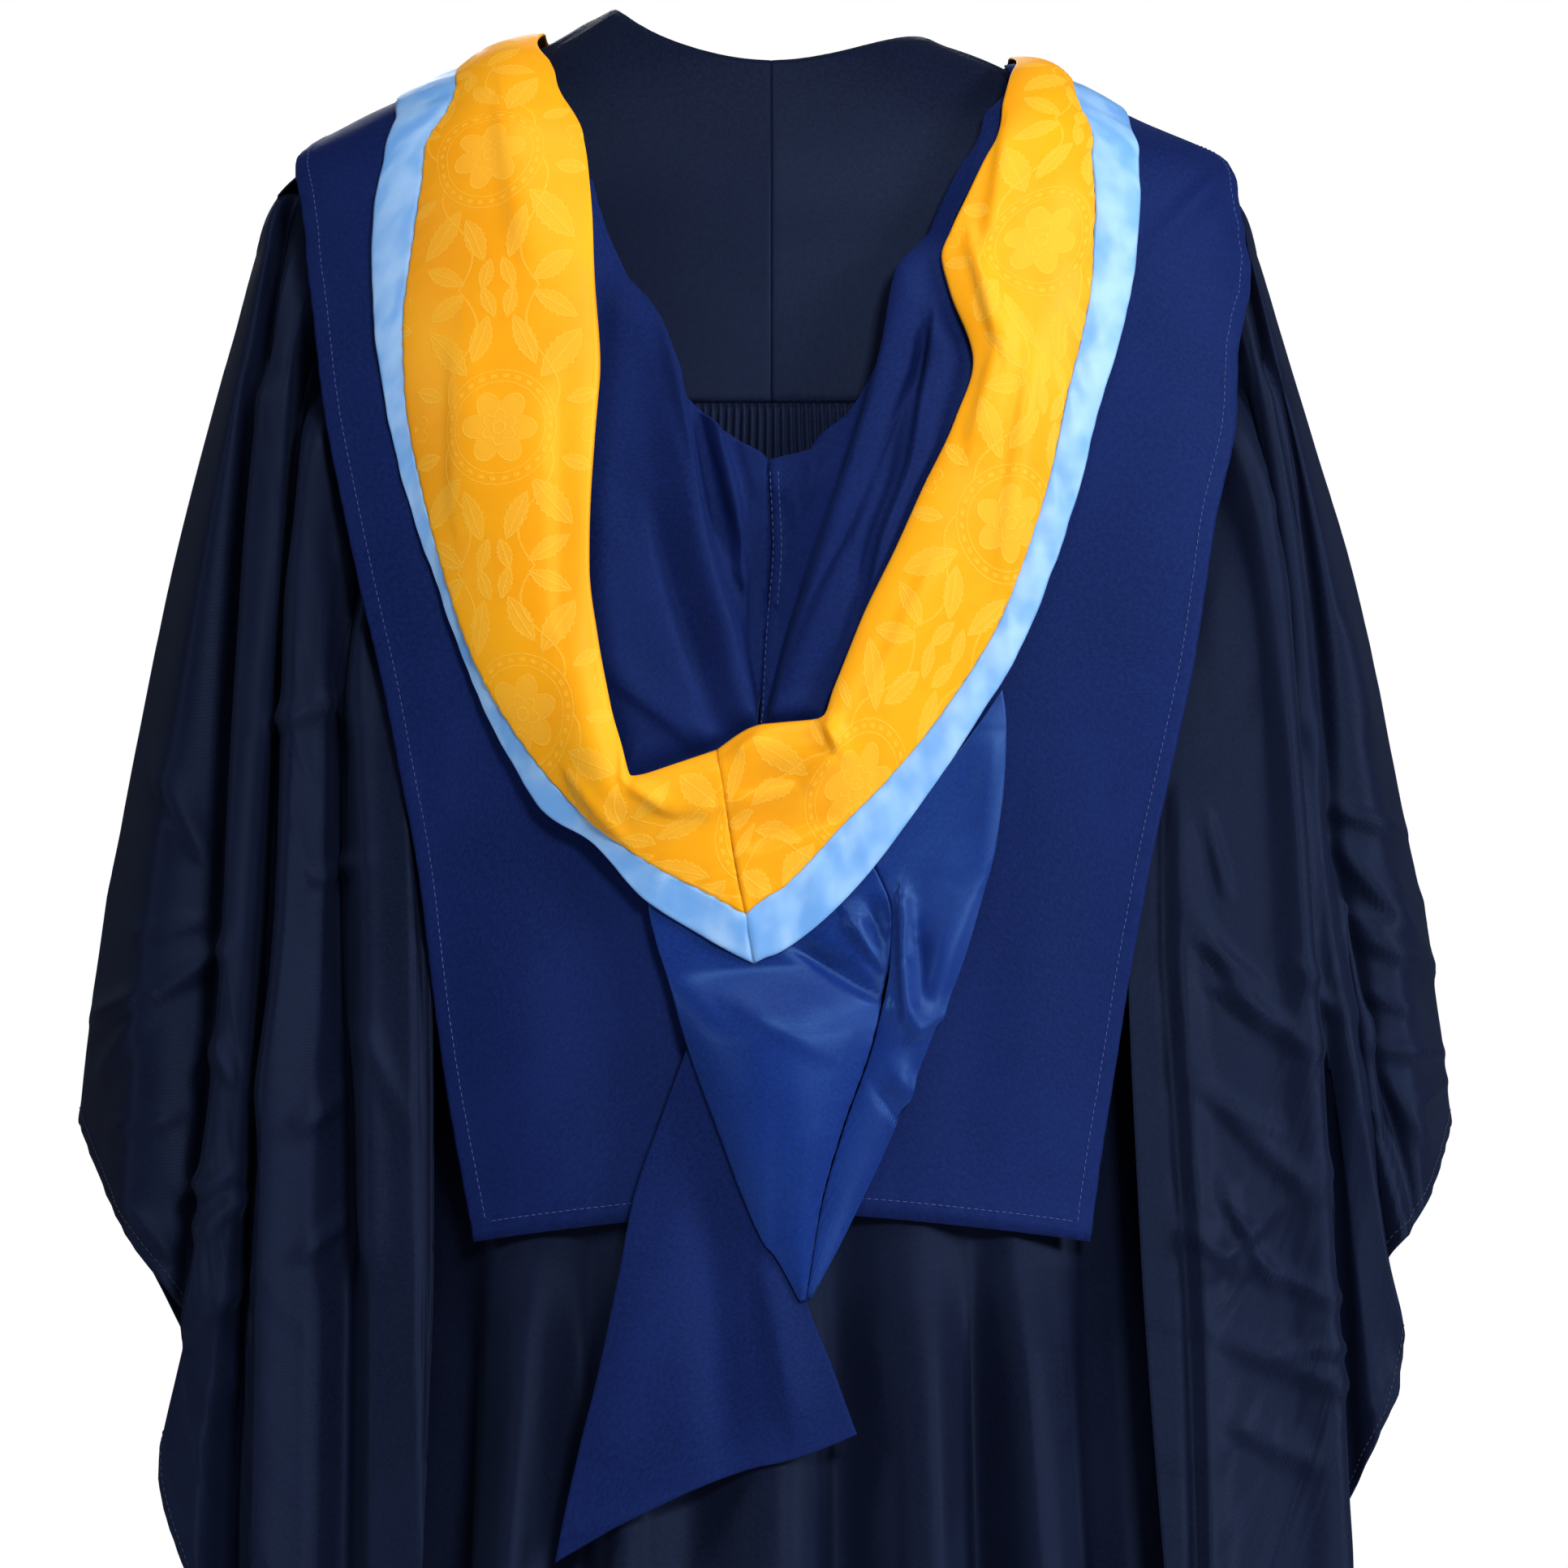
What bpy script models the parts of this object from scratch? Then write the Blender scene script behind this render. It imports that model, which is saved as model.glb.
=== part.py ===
"""A worn graduation gown with an academic hood over it, as a hollow form with open neck, sleeves and hem.

Sizes are in millimetres and become metres in the meshes. +Z is up, the back faces -Y, and left and
right are the wearer's, so that -X is left. The origin is the middle of the neck opening, level with
the nape. Every drop is how far a place lies below the nape. A place on the garment is an angle round
it, a drop, and a lift off the hanging cloth. Angle 0 is the right side, 90 the back, 180 the left side.
"""

import bpy
import numpy as np

MILLIMETRE = 0.001
GOWN_WALL = 1.2
HOOD_WALL = 1.5
SEAM_GAP = 0.3
SIDE_SEAM_GAP = 0.6

NECK_HALF_WIDTH = 86.0
NECK_BEHIND = 62.0
NECK_SLOT_TAPER = 0.22
YOKE_DROP_BEHIND = 187.0
YOKE_DROP_IN_FRONT = 110.0
HEM_DROP = 1240.0
FRONT_OPENING_ANGLE = 73.0

ARMHOLE_ANGLE = 25.0
ARMHOLE_WIDEST_DROP = 180.0
ARMHOLE_BOTTOM_DROP = 245.0
ARMHOLE_TOP_DROP = {"left": 20.0, "right": 30.0}
SLEEVE_HEAD_GAP = 2.0

FLUTE_COUNT = 54
FLUTE_PITCH = 4.1
FLUTE_HEIGHT = 2.4
FLUTE_PROFILE = (1.0, 0.72, 0.0, 0.72)
FLUTE_STRENGTH = {187.0: 1.0, 220.0: 1.0, 250.0: 0.7}
FLUTE_END_DROP = 285.0
BACK_DROPS = [325, 380, 450, 530, 610, 690, 780, 880, 980, 1070, 1160, HEM_DROP]
FRONT_DROPS = [YOKE_DROP_IN_FRONT + SEAM_GAP / 2, 140, 170, 200, 222, 238, 250, 300, *range(384, 1241, 107)]
FRONT_COLUMNS = 14
YOKE_ANGLES = [82, 74, 65, 55, 45, 35, 25, 23.8, 20, 11, 0, -11, -18, -22, -30, -41, -52, -63]
YOKE_ROWS = 8
SLEEVE_DOWN = [0, 0.03, 0.08, 0.16, 0.26, 0.37, 0.49, 0.61, 0.74, 0.87, 1.0]
FOLD_START_DROP = 480.0
FOLD_FULL_DROP = 800.0

SECTION_POWER = 2.6
SIDE_COLUMNS = 8
LEVELS = (100.0, 275.0, 450.0, 620.0, 795.0, 1000.0)


def table(columns, *rows):
    """A short table as a dict from the name of each column to its values."""
    return dict(zip(columns.split(), np.array(rows, float).T))


# Half widths and depths of the whole garment, sleeves included, as it hangs.
HANG = table(
    "drop left right back front",
    (-45, 52, 20, 16, 14),
    (-33, 86, 52, 30, 25),
    (-18, 130, 92, 45, 38),
    (2, 175, 147, 64, 54),
    (33, 234, 206, 85, 72),
    (55, 263, 248, 97, 82),
    (77, 276, 261, 105, 90),
    (99, 282, 266, 110, 96),
    (143, 293, 278, 119, 104),
    (209, 313, 298, 127, 111),
    (275, 328, 318, 130, 114),
    (407, 354, 345, 136, 118),
    (562, 382, 375, 147, 125),
    (700, 386, 379, 160, 133),
    (850, 386, 379, 178, 144),
    (1000, 386, 379, 198, 157),
    (1240, 386, 379, 232, 180),
)

# Half widths of the gown's body between the sleeves. Its depths are those above.
BODY = table(
    "drop left right",
    (-45, 52, 20),
    (-33, 86, 52),
    (-18, 130, 92),
    (2, 168, 147),
    (20, 190, 178),
    (33, 193, 191),
    (60, 193, 193),
    (125, 187, 187),
    (180, 185, 185),
    (245, 190, 190),
    (407, 198, 198),
    (620, 212, 212),
    (800, 225, 225),
    (1000, 247, 247),
    (1240, 282, 282),
)

# Folds of the back panel: place across it, from -1 at the left seam to 1, and how far each stands out.
BACK_FOLDS = table(
    "across out",
    (-1.00, 0),
    (-0.90, -4),
    (-0.78, 3),
    (-0.64, 0),
    (-0.50, -9),
    (-0.41, 2),
    (-0.33, 9),
    (-0.24, -8),
    (-0.16, 5),
    (-0.07, -3),
    (0.00, 4),
    (0.06, -8),
    (0.12, 1),
    (0.18, 8),
    (0.27, -8),
    (0.35, 8),
    (0.43, 3),
    (0.51, -4),
    (0.60, -2),
    (0.70, 8),
    (0.80, -5),
    (0.90, 2),
    (1.00, 0),
)

# Folds of each front: place across it, from 0 at the side seam to 1 at the open edge.
FRONT_FOLDS = table(
    "across out",
    (0.00, 0),
    (0.14, -3),
    (0.28, 6),
    (0.42, -6),
    (0.56, 7),
    (0.70, -6),
    (0.86, 6),
    (1.00, 0),
)

# Fold lines down each sleeve, in order round it from the outside over the back. Turn is the place on
# the armhole, x100 to x1000 are distances from the middle at those drops, face is 1 behind and -1 in
# front, and out is how far the line stands out from the hanging cloth.
SLEEVE_FOLDS = {
    "left": table(
        "turn x100 x275 x450 x620 x795 x1000 face out hem",
        (0, 281, 327, 362, 380, 384, 384, 0, 0, 572),
        (12, 273, 306, 332, 344, 350, 350, 1, -3, 628),
        (25, 265, 281, 294, 302, 304, 304, 1, -19, 690),
        (40, 263, 276, 287, 299, 330, 330, 1, -3, 742),
        (52, 257, 264, 275, 287, 306, 302, 1, -5, 815),
        (65, 252, 259, 264, 276, 285, 282, 1, -19, 880),
        (80, 250, 251, 256, 273, 277, 276, 1, -2, 930),
        (95, 239, 238, 240, 246, 247, 252, 1, -5, 982),
        (112, 229, 227, 226, 223, 224, 238, 1, -15, 1000),
        (130, 222, 221, 212, 210, 210, 230, 1, -3, 990),
        (150, 213, 208, 196, 190, 191, 222, 1, -10, 970),
        (170, 196, 200, 207, 219, 234, 260, 0, 55, 950),
        (190, 196, 200, 207, 219, 234, 260, 0, -50, 900),
        (220, 214, 222, 236, 248, 258, 280, -1, -4, 850),
        (255, 236, 250, 268, 278, 286, 296, -1, -15, 780),
        (290, 256, 284, 306, 320, 326, 326, -1, -4, 700),
        (325, 272, 310, 340, 356, 360, 360, -1, -6, 628),
    ),
    "right": table(
        "turn x100 x275 x450 x620 x795 x1000 face out hem",
        (0, 265, 317, 354, 373, 377, 377, 0, 0, 573),
        (12, 259, 300, 332, 348, 352, 352, 1, -3, 618),
        (25, 254, 283, 301, 325, 330, 330, 1, -14, 652),
        (40, 252, 278, 293, 322, 352, 352, 1, -3, 684),
        (52, 250, 274, 285, 308, 326, 326, 1, -6, 735),
        (65, 247, 268, 282, 294, 305, 305, 1, -19, 775),
        (80, 246, 265, 279, 289, 299, 297, 1, -2, 820),
        (95, 240, 256, 264, 271, 278, 278, 1, -5, 890),
        (112, 232, 241, 246, 250, 254, 258, 1, -4, 970),
        (130, 226, 228, 229, 228, 232, 242, 1, -14, 1000),
        (150, 218, 215, 214, 218, 222, 236, 1, -6, 985),
        (170, 196, 201, 207, 219, 234, 260, 0, 55, 950),
        (190, 196, 201, 207, 219, 234, 260, 0, -50, 900),
        (220, 212, 220, 232, 246, 258, 280, -1, -4, 850),
        (255, 228, 246, 262, 274, 284, 296, -1, -15, 780),
        (290, 246, 278, 300, 314, 322, 322, -1, -4, 700),
        (325, 258, 302, 334, 350, 356, 356, -1, -6, 628),
    ),
}

# Strips of the hood. Each row pairs a place on the inner rail with one on the outer rail: the distance
# from the middle, the drop, the face (1 behind, 0 on the shoulder, -1 in front), the lifts of the two
# rails, and how far the cloth swells between them.
STRIP = "x1 drop1 x2 drop2 face lift1 lift2 swell"

CAPE_LEFT = table(
    STRIP,
    (-0.2, 250, -30, 268, -1, 4, 4, 0),
    (-40, 170, -88, 160, -1, 4, 4, 1),
    (-76, 80, -150, 84, -1, 4, 4, 1),
    (-98, 10, -215, 45, -1, 5.5, 4, 1),
    (-105, -26, -246, 41, 0, 5.5, 3.5, 1),
    (-100, 20, -251, 75, 1, 5, 3, 1),
    (-94, 75, -246, 117, 1, 6, 3, 1),
    (-81, 109, -240, 165, 1, 6, 3, 1),
    (-64, 147, -230, 224, 1, 6, 3, 0),
    (-47, 181, -218, 280, 1, 6, 3, 0),
    (-30, 198, -204, 339, 1, 6, 3, 0),
    (-9, 217, -196, 381, 1, 6, 2, 1),
    (-2, 290, -186, 440, 1, 6, -3, 2),
    (-2, 380, -178, 510, 1, 6, -9, 4),
    (-2, 500, -168, 575, 1, 6, -13, 6),
    (-2, 612, -158, 628, 1, 6.5, -15, 7),
)

CAPE_RIGHT = table(
    STRIP,
    (0.2, 250, 30, 268, -1, 4, 4, 0),
    (40, 170, 88, 160, -1, 4, 4, 1),
    (76, 80, 150, 88, -1, 4, 4, 1),
    (98, 14, 212, 56, -1, 5.5, 4, 1),
    (104, -13, 232, 46, 0, 5.5, 3.5, 1),
    (126, 12, 250, 80, 1, 5, 3, 1),
    (112, 38, 255, 108, 1, 5.5, 3, 1),
    (98, 66, 248, 155, 1, 6, 3, 1),
    (72, 126, 246, 198, 1, 6, 3, 0),
    (55, 168, 234, 253, 1, 6, 3, 0),
    (43, 190, 222, 330, 1, 6, 3, 0),
    (21, 211, 211, 381, 1, 6, 2, 1),
    (-1.4, 290, 198, 445, 1, 6, -2, 2),
    (-1.4, 380, 188, 505, 1, 6, -8, 4),
    (-1.4, 500, 178, 570, 1, 6, -13, 6),
    (-1.4, 612, 170, 628, 1, 6.5, -16, 7),
)

DRAPE_LEFT = table(
    STRIP,
    (-94, 70, -97, 68, 1, 8, 9, 0),
    (-84, 103, -94, 100, 1, 8, 16, 0),
    (-66, 144, -91, 132, 1, 8, 21, 0),
    (-47, 181, -89, 181, 1, 8, 24, -1),
    (-25, 203, -91, 232, 1, 8, 25, -2),
    (-2, 218, -93, 275, 1, 9, 25, -3),
    (0, 262, -89, 310, 1, 12, 25, -3),
    (-3, 302, -85, 338, 1, 15, 25, -3),
    (-5, 338, -80, 362, 1, 19, 25, -2),
    (-6, 356, -76, 384, 1, 23, 25, 0),
)

DRAPE_RIGHT = table(
    STRIP,
    (122, 14, 127, 12, 1, 6.5, 8, 0),
    (112, 38, 120, 36, 1, 7.5, 12, 0),
    (98, 66, 113, 60, 1, 8, 15, 0),
    (82, 102, 93, 98, 1, 8, 19, 0),
    (70, 130, 90, 126, 1, 8, 21, 0),
    (55, 168, 103, 166, 1, 8, 23, -1),
    (40, 193, 97, 190, 1, 8, 25, -2),
    (22, 211, 87, 214, 1, 8, 25, -2),
    (-1.5, 219, 77, 236, 1, 9, 25, -3),
    (0.5, 262, 62, 268, 1, 12, 25, -3),
    (-2.5, 302, 47, 300, 1, 15, 25, -3),
    (-4.5, 338, 33, 337, 1, 19, 25, -1),
    (-5.5, 355.5, 26, 353, 1, 23, 25, 0),
)

LINING_LEFT = table(
    STRIP,
    (-56, 140, -60, 140, -1, 9, 9, 0),
    (-78, 84, -98, 88, -1, 11, 10.5, 1),
    (-97, 22, -132, 40, -1, 12, 11, 3),
    (-108, -6, -150, 9, -1, 13, 11.5, 4),
    (-112, -23, -160, -4, 0, 13, 10.5, 6),
    (-112, 4, -163, 20, 1, 16, 11, 8),
    (-110, 24, -172, 42, 1, 18, 11, 9),
    (-98, 53, -182, 75, 1, 20, 11, 10),
    (-94, 79, -188, 100, 1, 22, 11, 10),
    (-91, 126, -192, 132, 1, 25, 11, 10),
    (-88, 181, -192, 180, 1, 26, 11, 10),
    (-92, 232, -184, 232, 1, 27, 11, 9),
    (-93, 275, -170, 283, 1, 27, 13, 8),
    (-89, 310, -154, 326, 1, 27, 15, 7),
    (-84, 340, -135, 360, 1, 27, 18, 6),
    (-79, 366, -112, 391, 1, 27, 20, 5),
    (-72, 386, -87, 415, 1, 27, 22, 3),
    (-51, 379, -62, 432, 1, 27, 22, 2),
    (-34, 373, -34, 447, 1, 27, 22, 2),
    (-28.5, 371, -13, 458, 1, 27, 22, 1),
)

LINING_RIGHT = table(
    STRIP,
    (-28, 370.7, -12.5, 458, 1, 27, 22, 1),
    (-4, 357.5, 11, 440, 1, 27, 22, 2),
    (26, 354, 36, 413, 1, 27, 21, 2),
    (33, 337, 60, 388, 1, 27, 19, 4),
    (47, 300, 92, 348, 1, 27, 17, 6),
    (62, 268, 118, 306, 1, 27, 16, 7),
    (77, 234, 133, 266, 1, 27, 15, 8),
    (94, 198, 146, 225, 1, 27, 14, 7),
    (103, 166, 155, 184, 1, 25, 13, 7),
    (92, 134, 163, 150, 1, 23, 12, 10),
    (88, 116, 168, 124, 1, 22, 12, 10),
    (94, 98, 170, 95, 1, 21, 11, 9),
    (113, 60, 169, 60, 1, 18, 11, 8),
    (121, 34, 165, 38, 1, 16, 11, 7),
    (127, 8, 159, 17, 1, 14, 11, 6),
    (112, -11, 156, 7, 0, 12, 10.5, 5),
    (108, 2, 148, 19, -1, 13, 11.5, 4),
    (97, 24, 132, 44, -1, 12, 11, 3),
    (78, 84, 98, 90, -1, 11, 10.5, 1),
    (56, 140, 60, 140, -1, 9, 9, 0),
)

RIBBON_LEFT = table(
    STRIP,
    (-60.6, 140.2, -66, 141, -1, 9, 8.5, 0),
    (-98.7, 88.4, -112, 92, -1, 10.5, 10, 0),
    (-132.7, 40.5, -152, 50, -1, 11, 10.5, 0),
    (-150.7, 9.5, -172, 22, -1, 11.5, 11.5, 1),
    (-161.2, -3.6, -184, 6, 0, 10.5, 10.5, 1),
    (-163.8, 20, -192, 34, 1, 11, 9, 1),
    (-172.5, 42, -203, 60, 1, 11, 9, 1),
    (-182.5, 75, -209, 88, 1, 11, 9, 1),
    (-188.5, 100, -210, 110, 1, 11, 9, 1),
    (-192.5, 132, -208, 148, 1, 11, 9, 1),
    (-193.4, 180, -202, 190, 1, 11, 8, 0),
    (-186.5, 232, -190, 241, 1, 11, 7, 0),
    (-172.2, 284, -173, 290, 1, 13, 8, 0),
    (-156.2, 327, -157, 334, 1, 15, 10, 0),
    (-137, 361.4, -139, 371, 1, 18, 12, 0),
    (-113.8, 392.6, -118, 404, 1, 20, 15, 0),
    (-87.6, 415.7, -92, 421, 1, 22, 18, 0),
    (-62.2, 432.5, -68, 448, 1, 22, 18, 0),
    (-34.2, 447.5, -34, 470, 1, 22, 18, 0),
    (-13, 458.5, -8.7, 483.5, 1, 22, 18, 0),
)

RIBBON_RIGHT = table(
    STRIP,
    (-12.4, 458.5, -8.1, 483.5, 1, 22, 18, 0),
    (11.3, 440.5, 16, 470, 1, 22, 18, 0),
    (36.4, 413.4, 44, 444, 1, 21, 17, 0),
    (60.5, 388.4, 72, 408, 1, 19, 15, 0),
    (92.5, 348.3, 104, 361, 1, 17, 13, 1),
    (118.5, 306.3, 130, 318, 1, 16, 12, 1),
    (133.5, 266.3, 150, 268, 1, 15, 11, 1),
    (146.5, 225, 163, 226, 1, 14, 10, 1),
    (155.5, 184, 173, 186, 1, 13, 9, 1),
    (163.5, 150, 184, 150, 1, 12, 9, 1),
    (168.5, 124, 190, 122, 1, 12, 8, 1),
    (170.5, 95, 193, 98, 1, 11, 8, 1),
    (169.5, 60, 194, 68, 1, 11, 8, 1),
    (165.5, 38, 189, 48, 1, 11, 9, 1),
    (159.8, 17, 181, 29, 1, 11, 9, 1),
    (156.9, 7.2, 178, 16, 0, 10.5, 10, 1),
    (148.7, 19.5, 169, 31, -1, 11.5, 11.5, 1),
    (132.7, 44.5, 152, 54, -1, 11, 10.5, 0),
    (98.7, 90.4, 112, 94, -1, 10.5, 10, 0),
    (60.6, 140.2, 66, 141, -1, 9, 8.5, 0),
)

COWL_LEFT = table(
    STRIP,
    (-62, 440, 50, 426, 1, 15, 14, 0),
    (-64, 452, 56, 436, 1, 15, 14, 0),
    (-60, 472, 63, 456, 1, 15, 15, 0),
    (-55, 488, 62, 479, 1, 14.5, 15.5, 0),
    (-43, 526, 54, 522, 1, 16, 19, 8),
    (-21, 581, 38, 569, 1, 16, 19, 9),
    (0, 633, 26, 612, 1, 15, 17, 5),
    (12, 656, 18, 655, 1, 14, 15, 1),
)

COWL_RIGHT = table(
    STRIP,
    (50.5, 426, 121, 338, 1, 14, 8.5, 0),
    (56.5, 436, 123, 352, 1, 14, 8.5, 0),
    (63.5, 456, 122, 385, 1, 15, 9, 1),
    (62.5, 479, 117, 420, 1, 15.5, 10, 2),
    (54.5, 522, 102, 470, 1, 19, 10, 4),
    (38.5, 569, 80, 524, 1, 19, 10, 3),
    (26.5, 612, 55, 590, 1, 17, 10, 2),
    (18.6, 655, 22, 654, 1, 15, 14, 0),
)

LIRIPIPE = table(
    STRIP,
    (-44, 528, 8, 528, 1, 13.8, 13.8, 0),
    (-58, 566, 11, 566, 1, 12.8, 13, 0),
    (-72, 607, 14, 610, 1, 12, 12.5, 1),
    (-80, 650, 18, 655, 1, 11, 11.5, 3),
    (-90, 700, 36, 692, 1, 10, 12, 6),
    (-99, 735, 46, 714, 1, 10, 11, 6),
    (-106, 764, 47, 729, 1, 10, 10, 5),
    (-111, 790, 42, 740, 1, 10, 10, 4),
)

# Colours as red, green and blue, with a roughness.
FINISHES = {
    "gown": ((0.012, 0.018, 0.040), 0.60),
    "hood": ((0.016, 0.040, 0.190), 0.65),
    "lining": ((0.900, 0.420, 0.020), 0.45),
    "ribbon": ((0.230, 0.520, 0.880), 0.35),
}


def smooth(knots, values, at):
    """Cubic through the values at the knots that never swings past them, read at each place."""
    knots = np.asarray(knots, float)
    values = np.asarray(values, float)
    rises = np.diff(values, axis=0)
    rises /= np.diff(knots).reshape(-1, *[1] * (values.ndim - 1))
    same_way = rises[:-1] * rises[1:] > 0
    both = np.where(same_way, rises[:-1] + rises[1:], 1)
    between = np.where(same_way, 2 * rises[:-1] * rises[1:] / both, 0)
    slopes = np.concatenate([rises[:1], between, rises[-1:]])
    low = np.clip(np.searchsorted(knots, at) - 1, 0, len(knots) - 2)
    span = knots[low + 1] - knots[low]
    part = np.clip((at - knots[low]) / span, 0, 1)
    if values.ndim > 1:
        span = span[..., None]
        part = part[..., None]
    start = (1 + 2 * part) * (1 - part) ** 2 * values[low] + part * (1 - part) ** 2 * span * slopes[low]
    end = part**2 * (3 - 2 * part) * values[low + 1] + part**2 * (part - 1) * span * slopes[low + 1]
    return start + end


def half_width(shape, right_side, drop):
    """Half width of a shape on one side at each drop."""
    left = smooth(shape["drop"], shape["left"], drop)
    right = smooth(shape["drop"], shape["right"], drop)
    return np.where(right_side, right, left)


def depth(behind, drop):
    """Depth of the hanging cloth behind or in front of the middle at each drop."""
    back = smooth(HANG["drop"], HANG["back"], drop)
    front = smooth(HANG["drop"], HANG["front"], drop)
    return np.where(behind, back, front)


def on_shape(shape, angle, drop):
    """Points of a shape: a rounded section at each drop, wide and deep as its tables say."""
    cosine = np.cos(np.radians(angle))
    sine = np.sin(np.radians(angle))
    across = np.sign(cosine) * np.abs(cosine) ** (2 / SECTION_POWER)
    along = np.sign(sine) * np.abs(sine) ** (2 / SECTION_POWER)
    x = across * half_width(shape, cosine >= 0, drop)
    y = -along * depth(sine >= 0, drop)
    return np.stack([x, y, -drop], axis=-1)


def unit(vectors):
    """Vectors with their lengths made 1."""
    return vectors / np.linalg.norm(vectors, axis=-1, keepdims=True)


def lifted(shape, angle, drop, lift):
    """Points moved off a shape by a lift, straight out from it."""
    angle, drop, lift = np.broadcast_arrays(angle, drop, lift)
    round_it = on_shape(shape, angle + 0.5, drop) - on_shape(shape, angle - 0.5, drop)
    down_it = on_shape(shape, angle, drop + 1) - on_shape(shape, angle, drop - 1)
    outward = unit(np.cross(round_it, down_it))
    return on_shape(shape, angle, drop) + outward * lift[..., None]


def angle_at(shape, x, drop, face):
    """Angle of the place at distance x from the middle. It grows over the left side to the front."""
    reach = np.clip(np.abs(x) / half_width(shape, x >= 0, drop), 0, 1)
    from_side = np.degrees(np.arccos(reach ** (SECTION_POWER / 2))) * face
    return np.where(x >= 0, from_side, 180 - from_side)


def behind_wall(skin, wall, closed=False):
    """The inner skin of a wall: each point of a grid moved in by the wall's thickness."""
    ring = np.concatenate([skin[:, -1:], skin, skin[:, :1]], axis=1) if closed else skin
    down_it, round_it = np.gradient(ring, axis=(0, 1))
    inward = unit(np.cross(down_it, round_it))
    if closed:
        inward = inward[:, 1:-1]
    return skin + inward * wall


def strip(first, second, first_places, second_places):
    """Triangles between two rows of point numbers, which may differ in length."""
    faces = []
    i = j = 0
    while i < len(first) - 1 or j < len(second) - 1:
        step_first = i < len(first) - 1
        if step_first and j < len(second) - 1:
            step_first = first_places[i + 1] <= second_places[j + 1] + 1e-9
        if step_first:
            faces.append((first[i], second[j], first[i + 1]))
            i += 1
        else:
            faces.append((first[i], second[j], second[j + 1]))
            j += 1
    return faces


def even_places(row):
    """Places from 0 to 1 for the points of a row."""
    return np.linspace(0, 1, len(row))


def wall_faces(outer, inner, closed):
    """Triangles of a closed wall between two skins. A skin is a list of rows, each numbers and places."""
    faces = []
    for upper, lower in zip(outer, outer[1:]):
        faces += strip(upper[0], lower[0], upper[1], lower[1])
    for upper, lower in zip(inner, inner[1:]):
        faces += strip(lower[0], upper[0], lower[1], upper[1])
    faces += strip(inner[0][0], outer[0][0], inner[0][1], outer[0][1])
    faces += strip(outer[-1][0], inner[-1][0], outer[-1][1], inner[-1][1])
    if not closed:
        down = even_places(outer)
        first_edges = [[row[0][0] for row in skin] for skin in (outer, inner)]
        last_edges = [[row[0][-1] for row in skin] for skin in (inner, outer)]
        faces += strip(*first_edges, down, down)
        faces += strip(*last_edges, down, down)
    return faces


def numbered(rows, start, closed, places=None):
    """Rows of points as rows of numbers with their places. A closed row ends on its first point."""
    result = []
    for index, row in enumerate(rows):
        numbers = list(range(start, start + len(row)))
        start += len(row)
        if closed:
            numbers.append(numbers[0])
        spots = places[index] if places else even_places(numbers)
        result.append((numbers, spots))
    return result, start


def make_wall(name, finish, outer, inner, closed=False, outer_places=None, inner_places=None):
    """One closed solid with its own material from an outer and an inner skin."""
    out_rows, start = numbered(outer, 0, closed, outer_places)
    in_rows, _ = numbered(inner, start, closed, inner_places)
    points = np.concatenate([*outer, *inner])
    faces = np.array(wall_faces(out_rows, in_rows, closed))
    corners = points[faces]
    volume = np.einsum("ij,ij->i", corners[:, 0], np.cross(corners[:, 1], corners[:, 2])).sum()
    if volume < 0:
        faces = faces[:, ::-1]
    mesh = bpy.data.meshes.new(name)
    mesh.from_pydata((points * MILLIMETRE).tolist(), [], faces.tolist())
    mesh.shade_smooth()
    mesh.set_sharp_from_angle(angle=np.radians(50))
    colour, roughness = FINISHES[finish]
    material = bpy.data.materials.new(name)
    material.use_nodes = True
    shader = material.node_tree.nodes["Principled BSDF"]
    shader.inputs["Base Color"].default_value = (*colour, 1)
    shader.inputs["Roughness"].default_value = roughness
    shader.inputs["Metallic"].default_value = 0
    mesh.materials.append(material)
    bpy.context.scene.collection.objects.link(bpy.data.objects.new(name, mesh))


def armhole_angle(side, drop):
    """Angle from the side line to the armhole's edge at each drop, 0 above and below the armhole."""
    upper = ARMHOLE_WIDEST_DROP - ARMHOLE_TOP_DROP[side]
    lower = ARMHOLE_BOTTOM_DROP - ARMHOLE_WIDEST_DROP
    reach = np.where(drop < ARMHOLE_WIDEST_DROP, upper, lower)
    inside = 1 - ((drop - ARMHOLE_WIDEST_DROP) / reach) ** 2
    return ARMHOLE_ANGLE * np.sqrt(np.clip(inside, 0, 1))


def armhole_top(side, angle):
    """Drop of the armhole's upper edge at each angle from the side line."""
    upper = ARMHOLE_WIDEST_DROP - ARMHOLE_TOP_DROP[side]
    inside = np.clip(1 - (angle / ARMHOLE_ANGLE) ** 2, 0, 1)
    return ARMHOLE_WIDEST_DROP - upper * np.sqrt(inside)


def on_side(side, angle):
    """The same place on the right or on the left half of the garment."""
    return angle if side == "right" else 180 - angle


def neck_drop(side, angle):
    """Drop where a column of the yoke meets the neck opening, an oval behind and a slot in front."""
    drops = np.linspace(-44, 90, 1341)
    points = on_shape(BODY, on_side(side, np.full_like(drops, angle)), drops)
    x = np.abs(points[:, 0])
    y = points[:, 1]
    oval = (x / NECK_HALF_WIDTH) ** 2 + (y / NECK_BEHIND) ** 2
    slot = x / (NECK_HALF_WIDTH - NECK_SLOT_TAPER * np.maximum(y, 0))
    outside = np.where(y <= 0, oval, slot) >= 1
    return drops[np.argmax(outside)]


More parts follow.
